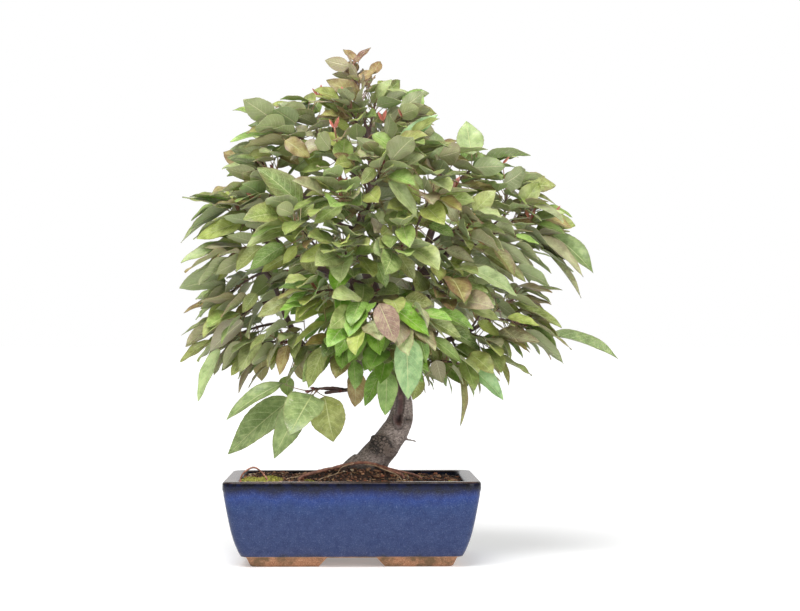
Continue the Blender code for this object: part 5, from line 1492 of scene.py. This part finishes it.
def bare_clay():
    """Unglazed fired clay on the feet: dry, orange-brown, gritty, stained darker from watering."""
    made, tree, shader = started("bare fired clay")
    place = add(tree, "TexCoord", {}, "Object")
    grit = add(tree, "TexNoise", {"Vector": place, "Scale": per_mm(1.2), "Detail": 4.0})
    stain = add(tree, "TexNoise", {"Vector": place, "Scale": per_mm(14), "Detail": 4.0, "Roughness": 0.65})
    colour = add(tree, "ValToRGB", {0: grit}, stops=((0.34, "#8c6147"), (0.56, "#ad7f5f"), (0.75, "#c99f80")))
    damp = add(tree, "MapRange", {0: stain, 1: 0.45, 2: 0.62, 3: 0.0, 4: 0.8})
    colour = add(tree, "Mix", {0: damp, 6: colour, 7: "#5d4c33"}, 2, data_type="RGBA")
    plug(tree, shader, {"Base Color": colour, "Roughness": 0.86,
                        "Normal": add(tree, "Bump", {"Height": grit, "Strength": 0.5, "Distance": 0.0004})})
    return made


def old_bark():
    """Apple bark: pinkish grey, finely wrinkled, with dark scaly scars and one smooth red-brown seam."""
    made, tree, shader = started("old apple bark")
    place = add(tree, "TexCoord", {}, "Object")
    zone = add(tree, "Attribute", {}, "Vector", attribute_name="bark_zone")
    seam, scaly, shaded = (add(tree, "SeparateXYZ", {0: zone}, axis) for axis in "XYZ")
    # Wrinkles run round the trunk, about a millimetre apart
    drawn = add(tree, "Mapping", {"Vector": place, "Rotation": (0, 0.6, 0), "Scale": (0.7, 0.7, 1.5)})
    wrinkle = add(tree, "TexNoise", {"Vector": drawn, "Scale": per_mm(1.8), "Detail": 5.0, "Roughness": 0.7})
    patch = add(tree, "TexNoise", {"Vector": place, "Scale": per_mm(11), "Detail": 5.0, "Roughness": 0.68})
    scales = add(tree, "TexVoronoi", {"Vector": place, "Scale": per_mm(3.6)}, "Distance", feature="DISTANCE_TO_EDGE")
    scales = add(tree, "Math", {0: add(tree, "Math", {0: patch, 1: -0.5}, operation="ADD"), 1: 1.3, 2: scales},
                 operation="MULTIPLY_ADD")
    colour = add(tree, "ValToRGB", {0: wrinkle}, stops=((0.34, "#41372f"), (0.48, "#83766f"), (0.66, "#b3a69e")))
    dark = add(tree, "MapRange", {0: patch, 1: 0.50, 2: 0.64, 3: 0.0, 4: 0.62})
    crack = add(tree, "MapRange", {0: scales, 1: 0.20, 2: 0.05, 3: 0.0, 4: 1.0})
    scale_colour = add(tree, "Mix", {0: crack, 6: "#76675d", 7: "#120d0b"}, 2, data_type="RGBA")
    scarred = add(tree, "Math", {0: scaly, 1: 0.85}, operation="MULTIPLY")
    smooth = add(tree, "ValToRGB", {0: patch}, stops=((0.38, "#3a2423"), (0.55, "#553735"), (0.70, "#785650")))
    # The last layer, shaded, paints shade into the hollow, the knot and the seam's grooves, and darkens the wood's
    # foot
    for share, layer in ((dark, "#453a36"), (scarred, scale_colour), (seam, smooth), (shaded, "#1f1512")):
        colour = add(tree, "Mix", {0: share, 6: colour, 7: layer}, 2, data_type="RGBA")
    worn = add(tree, "Math", {0: crack, 1: scaly}, operation="MULTIPLY")
    relief = add(tree, "Math", {0: worn, 1: -1.5, 2: wrinkle}, operation="MULTIPLY_ADD")
    plug(tree, shader, {"Base Color": colour,
                        "Roughness": add(tree, "MapRange", {0: seam, 3: 0.78, 4: 0.42}),
                        "Normal": add(tree, "Bump", {"Height": relief, "Strength": 0.8, "Distance": 0.0008})})
    return made


def young_bark(name, dark, light):
    """Smooth bark of this year's and last year's wood: thin, a little glossy, flecked with pale pores."""
    made, tree, shader = started(name)
    place = add(tree, "TexCoord", {}, "Object")
    streak = add(tree, "TexNoise", {"Vector": place, "Scale": per_mm(4), "Detail": 4.0})
    pores = add(tree, "TexVoronoi", {"Vector": place, "Scale": per_mm(2.0)}, "Distance")
    colour = add(tree, "ValToRGB", {0: streak}, stops=((0.34, dark), (0.68, light)))
    fleck = add(tree, "MapRange", {0: pores, 1: 0.16, 2: 0.08, 3: 0.0, 4: 0.6})
    colour = add(tree, "Mix", {0: fleck, 6: colour, 7: "#a08c7c"}, 2, data_type="RGBA")
    plug(tree, shader, {"Base Color": colour, "Roughness": 0.5,
                        "Normal": add(tree, "Bump", {"Height": streak, "Strength": 0.4, "Distance": 0.0003})})
    return made


def leaf_blade():
    """Living apple leaf: leathery and half matt, flushed bronze at the edge, its veins pressed in above."""
    made, tree, shader = started("apple leaf blade")
    tint = add(tree, "Attribute", {}, "Color", attribute_name="leaf_colour")
    where = add(tree, "Attribute", {}, "Vector", attribute_name="leaf_place")
    across, along, upper = (add(tree, "SeparateXYZ", {0: where}, axis) for axis in "XYZ")
    own = add(tree, "Attribute", {}, "Vector", attribute_name="leaf_own")
    flushed, crisp = (add(tree, "SeparateXYZ", {0: own}, axis) for axis in "XY")
    size = add(tree, "Math", {0: across}, operation="ABSOLUTE")
    place = add(tree, "TexCoord", {}, "Object")
    blotch = add(tree, "TexNoise", {"Vector": place, "Scale": per_mm(9), "Detail": 4.0, "Roughness": 0.62})
    fine = add(tree, "TexNoise", {"Vector": place, "Scale": per_mm(1.4), "Detail": 3.0})
    net = add(tree, "TexVoronoi", {"Vector": place, "Scale": per_mm(2.2)}, "Distance", feature="DISTANCE_TO_EDGE")
    # Side veins: eight pairs a leaf, each leaving the midrib forward, curving to the edge and wandering
    slant = add(tree, "Math", {0: size, 1: 1.35}, operation="POWER")
    march = add(tree, "Math", {0: slant, 1: -0.27, 2: along}, operation="MULTIPLY_ADD")
    march = add(tree, "Math", {0: blotch, 1: 0.06, 2: march}, operation="MULTIPLY_ADD")
    saw = add(tree, "Math", {0: add(tree, "Math", {0: march, 1: 8.0}, operation="MULTIPLY")}, operation="FRACT")
    off = add(tree, "Math", {0: add(tree, "Math", {0: saw, 1: 0.5}, operation="SUBTRACT")}, operation="ABSOLUTE")
    vein = add(tree, "MapRange", {0: off, 1: 0.09, 2: 0.0})
    vein = add(tree, "Math", {0: vein, 1: add(tree, "MapRange", {0: size, 1: 1.0, 2: 0.5, 3: 0.1, 4: 1.0})},
               operation="MULTIPLY")
    vein = add(tree, "Math", {0: vein, 1: crisp}, operation="MULTIPLY")
    mesh_line = add(tree, "MapRange", {0: net, 1: 0.07, 2: 0.0, 3: 0.0, 4: 0.30})
    rib = add(tree, "MapRange", {0: size, 1: 0.055, 2: 0.012})
    # Upper face: the tint, mottled, with pale veins and a bronze or wine flush that grows toward the edge
    shade = add(tree, "MapRange", {0: blotch, 1: 0.40, 2: 0.66, 3: 0.0, 4: 0.55})
    face = add(tree, "Mix", {0: shade, 6: tint, 7: "#8a9068"}, 2, data_type="RGBA", blend_type="MULTIPLY")
    bloom = add(tree, "MapRange", {0: blotch, 1: 0.52, 2: 0.34, 3: 0.0, 4: 0.30})
    creep = add(tree, "Math", {0: blotch, 1: 1.5, 2: size}, operation="MULTIPLY_ADD")
    flush = add(tree, "Math", {0: add(tree, "MapRange", {0: creep, 1: 0.95, 2: 1.85, 3: 0.12, 4: 1.0}), 1: flushed},
                operation="MULTIPLY")
    rim = add(tree, "MapRange", {0: size, 1: 0.93, 2: 1.0, 3: 0.0, 4: 0.45})
    for layer, share, tone in ((bloom, 1.0, "#a9ad7a"), (flush, 1.0, "#6d4c3b"), (mesh_line, crisp, "#c3c993"),
                               (vein, 0.40, "#c9d09c"), (rib, 0.55, "#c4c692"), (rim, 1.0, "#6a4f38")):
        amount = add(tree, "Math", {0: layer, 1: share}, operation="MULTIPLY")
        face = add(tree, "Mix", {0: amount, 6: face, 7: tone}, 2, data_type="RGBA")
    # Under face: paler, greyer and downy, with the net of veins standing out
    back = add(tree, "Mix", {0: 0.60, 6: tint, 7: "#a3a78c"}, 2, data_type="RGBA")
    for layer, share, tone in ((flush, 0.5, "#8a6c62"), (mesh_line, 1.0, "#c5c3a0"), (vein, 0.6, "#cfcda9"),
                               (rib, 0.85, "#d3cfa8")):
        amount = add(tree, "Math", {0: layer, 1: share}, operation="MULTIPLY")
        back = add(tree, "Mix", {0: amount, 6: back, 7: tone}, 2, data_type="RGBA")
    pressed = add(tree, "Math", {0: vein, 1: -0.8, 2: add(tree, "Math", {0: rib, 1: -1.0}, operation="MULTIPLY")},
                  operation="MULTIPLY_ADD")
    relief = add(tree, "Math", {0: fine, 1: 0.45, 2: pressed}, operation="MULTIPLY_ADD")
    plug(tree, shader, {
        "Base Color": add(tree, "Mix", {0: upper, 6: back, 7: face}, 2, data_type="RGBA"),
        "Roughness": add(tree, "MapRange", {0: upper, 3: 0.70, 4: 0.40}), "IOR": 1.45,
        "Subsurface Weight": 0.18, "Subsurface Radius": (0.0012, 0.0020, 0.0006), "Subsurface Scale": 1.0,
        "Normal": add(tree, "Bump", {"Height": relief, "Strength": 0.55, "Distance": 0.0005})})
    return made


def leaf_stalk():
    """Leaf stalk: pale green flushed pink, smooth and slightly downy."""
    made, tree, shader = started("leaf stalk")
    tint = add(tree, "Attribute", {}, "Color", attribute_name="leaf_colour")
    flush = add(tree, "TexNoise", {"Vector": add(tree, "TexCoord", {}, "Object"), "Scale": per_mm(14), "Detail": 2.0})
    colour = add(tree, "Mix", {0: 0.45, 6: tint, 7: "#a8a878"}, 2, data_type="RGBA")
    pink = add(tree, "MapRange", {0: flush, 1: 0.42, 2: 0.62, 3: 0.20, 4: 0.85})
    plug(tree, shader, {"Base Color": add(tree, "Mix", {0: pink, 6: colour, 7: "#8d5a54"}, 2, data_type="RGBA"),
                        "Roughness": 0.55})
    return made


def grains(name, roughness, relief_mm):
    """Dry grains or moss tufts: each has its own colour, dusted unevenly, with no shine."""
    made, tree, shader = started(name)
    tint = add(tree, "Attribute", {}, "Color", attribute_name="grain_colour")
    dust = add(tree, "TexNoise", {"Vector": add(tree, "TexCoord", {}, "Object"), "Scale": per_mm(relief_mm),
                                  "Detail": 4.0})
    shade = add(tree, "MapRange", {0: dust, 1: 0.35, 2: 0.65, 3: 0.0, 4: 0.55})
    colour = add(tree, "Mix", {0: shade, 6: tint, 7: "#7d6f60"}, 2, data_type="RGBA", blend_type="MULTIPLY")
    plug(tree, shader, {"Base Color": colour, "Roughness": roughness,
                        "Normal": add(tree, "Bump", {"Height": dust, "Strength": 0.6, "Distance": 0.0004})})
    return made


def packed_soil():
    """The soil between and under the grains: dark, damp crumbs."""
    made, tree, shader = started("damp packed soil")
    place = add(tree, "TexCoord", {}, "Object")
    crumb = add(tree, "TexVoronoi", {"Vector": place, "Scale": per_mm(1.8)}, "Distance")
    damp = add(tree, "TexNoise", {"Vector": place, "Scale": per_mm(20), "Detail": 3.0})
    colour = add(tree, "ValToRGB", {0: crumb}, stops=((0.0, "#6b4a38"), (0.5, "#3d2a20"), (1.0, "#140d0b")))
    wet = add(tree, "MapRange", {0: damp, 1: 0.4, 2: 0.6, 3: 0.0, 4: 0.5})
    colour = add(tree, "Mix", {0: wet, 6: colour, 7: "#1f1511"}, 2, data_type="RGBA")
    bump = add(tree, "Bump", {"Height": crumb, "Strength": 1.0, "Distance": 0.0012}, invert=True)
    plug(tree, shader, {"Base Color": colour, "Roughness": 0.9, "Normal": bump})
    return made


def screen_plastic():
    """Black polyethylene mesh, moulded: dull, with soil dust in its texture."""
    made, tree, shader = started("moulded black mesh")
    dust = add(tree, "TexNoise", {"Vector": add(tree, "TexCoord", {}, "Object"), "Scale": per_mm(3), "Detail": 4.0})
    plug(tree, shader, {"Base Color": add(tree, "ValToRGB", {0: dust}, stops=((0.4, "#141513"), (0.7, "#3a332b"))),
                        "Roughness": 0.6})
    return made


def studio_floor():
    """Seamless white paper, which glows more with its distance so that it meets the background."""
    made, tree, shader = started("seamless paper")
    away = add(tree, "VectorMath", {0: add(tree, "TexCoord", {}, "Object")}, "Value", operation="LENGTH")
    (near, far), (faint, bright) = FLOOR_GLOW_REACH, FLOOR_GLOW
    glow = add(tree, "MapRange", {0: away, 1: near, 2: far, 3: faint, 4: bright})
    plug(tree, shader, {"Base Color": "#e6e6e6", "Roughness": 0.9, "Emission Color": "#ffffff",
                        "Emission Strength": glow})
    return made


def set_stage():
    """A pale floor, a white wall behind, a dimmer room in front, two soft lamps and the photo's camera."""
    mesh = bpy.data.meshes.new("floor")
    mesh.from_pydata([(-FLOOR_REACH, -FLOOR_REACH, 0), (FLOOR_REACH, -FLOOR_REACH, 0),
                      (FLOOR_REACH, FLOOR_REACH, 0), (-FLOOR_REACH, FLOOR_REACH, 0)], [], [(0, 1, 2, 3)])
    mesh.materials.append(studio_floor())
    floor = put("floor", mesh)
    world = bpy.data.worlds.new("soft studio")
    bpy.context.scene.world = world
    world.use_nodes = True
    sky = world.node_tree
    behind = add(sky, "SeparateXYZ", {0: add(sky, "TexCoord", {}, "Generated")}, "Y")
    low, high = WALL_EDGE
    plug(sky, sky.nodes["Background"], {
        "Color": "#ffffff",
        "Strength": add(sky, "MapRange", {0: behind, 1: low, 2: high, 3: ROOM_LIGHT, 4: WALL_LIGHT})})
    for name, place, size, power in LAMPS:
        light = bpy.data.lights.new(name, "AREA")
        light.shape = "RECTANGLE"
        light.size, light.size_y = size
        light.energy = power
        lamp = put(name, light)
        lamp.location = Vector(place)
        lamp.rotation_euler = (UP * LAMP_AIM - lamp.location).to_track_quat("-Z", "Y").to_euler()
    eye = bpy.data.cameras.new("front")
    eye.sensor_width = SENSOR
    eye.lens = SENSOR * RIM_DISTANCE / PHOTO_WIDTH
    camera = put("front", eye)
    camera.location = SHIFT + mm(0, -EYE_DISTANCE, EYE_HEIGHT)
    aim = mm(PHOTO_WIDTH / 2 - VIEW_X, RIM_DISTANCE, VIEW_Y - PHOTO_HEIGHT / 2)
    camera.rotation_euler = aim.to_track_quat("-Z", "Y").to_euler()
    bpy.context.scene.camera = camera
    bpy.context.scene.view_settings.view_transform = "Standard"


def main():
    """Set the stage, lay out the tree, and settle every piece with its finish."""
    set_stage()
    paths = limbs()
    twigs = make_twigs(paths)
    crowd = Crowd(list(paths.values()), twigs)
    leaves = lay_out_leaves(twigs, crowd)
    late_leaves(twigs, crowd, leaves)
    spurs = make_spurs(paths, twigs)
    crowd.watch(spurs)
    fill_in_leaves(twigs + spurs, crowd, leaves)
    young_leaves(twigs, leaves)
    twig_bark = young_bark("last year's twig bark", "#3d2c2a", "#6d5047")
    bud_scale = young_bark("red bud scales", "#5a2a2c", "#8d4a48")
    dress_sprays(twigs, spurs, leaves, (leaf_blade(), leaf_stalk(), twig_bark, bud_scale))
    settle("bark", wood_mesh(paths, twigs), (old_bark(),), "trunk_and_branches", slot="bark_grey")
    root_skin = young_bark("surface root bark", "#6a4033", "#b07a64")
    settle("surface_roots", root_mesh(SURFACE_ROOTS, SEEDS["surface_root"]), (root_skin,), slot="root_brown")
    pale_skin = young_bark("pale feeding roots", "#8f7155", "#cbb08f")
    settle("feeding_roots", root_mesh(FINE_ROOTS, SEEDS["fine_root"]), (pale_skin,), slot="root_brown")
    settle("arching_root", root_mesh((ARCH_ROOT,), SEEDS["arch_root"]), (root_skin,), "root_arch", slot="root_brown")
    settle("glazed_pot", pot_mesh(), (cobalt_glaze(), bare_clay()), "pot", slot="glazed_pot")
    settle("packed_soil", soil_mesh(), (packed_soil(),), "soil", slot="soil_grit")
    settle("soil_grains", grains_mesh(), (grains("fired clay and bark grains", 0.92, 1.5),), slot="soil_grit")
    settle("moss", moss_mesh(), (grains("cushion moss", 0.95, 2.0),), "moss_cushion", slot="moss_green")
    for name in ("drain_screen_left", "drain_screen_right"):
        frame["nodes"][name].material_slots[0].material = screen_plastic()


main()
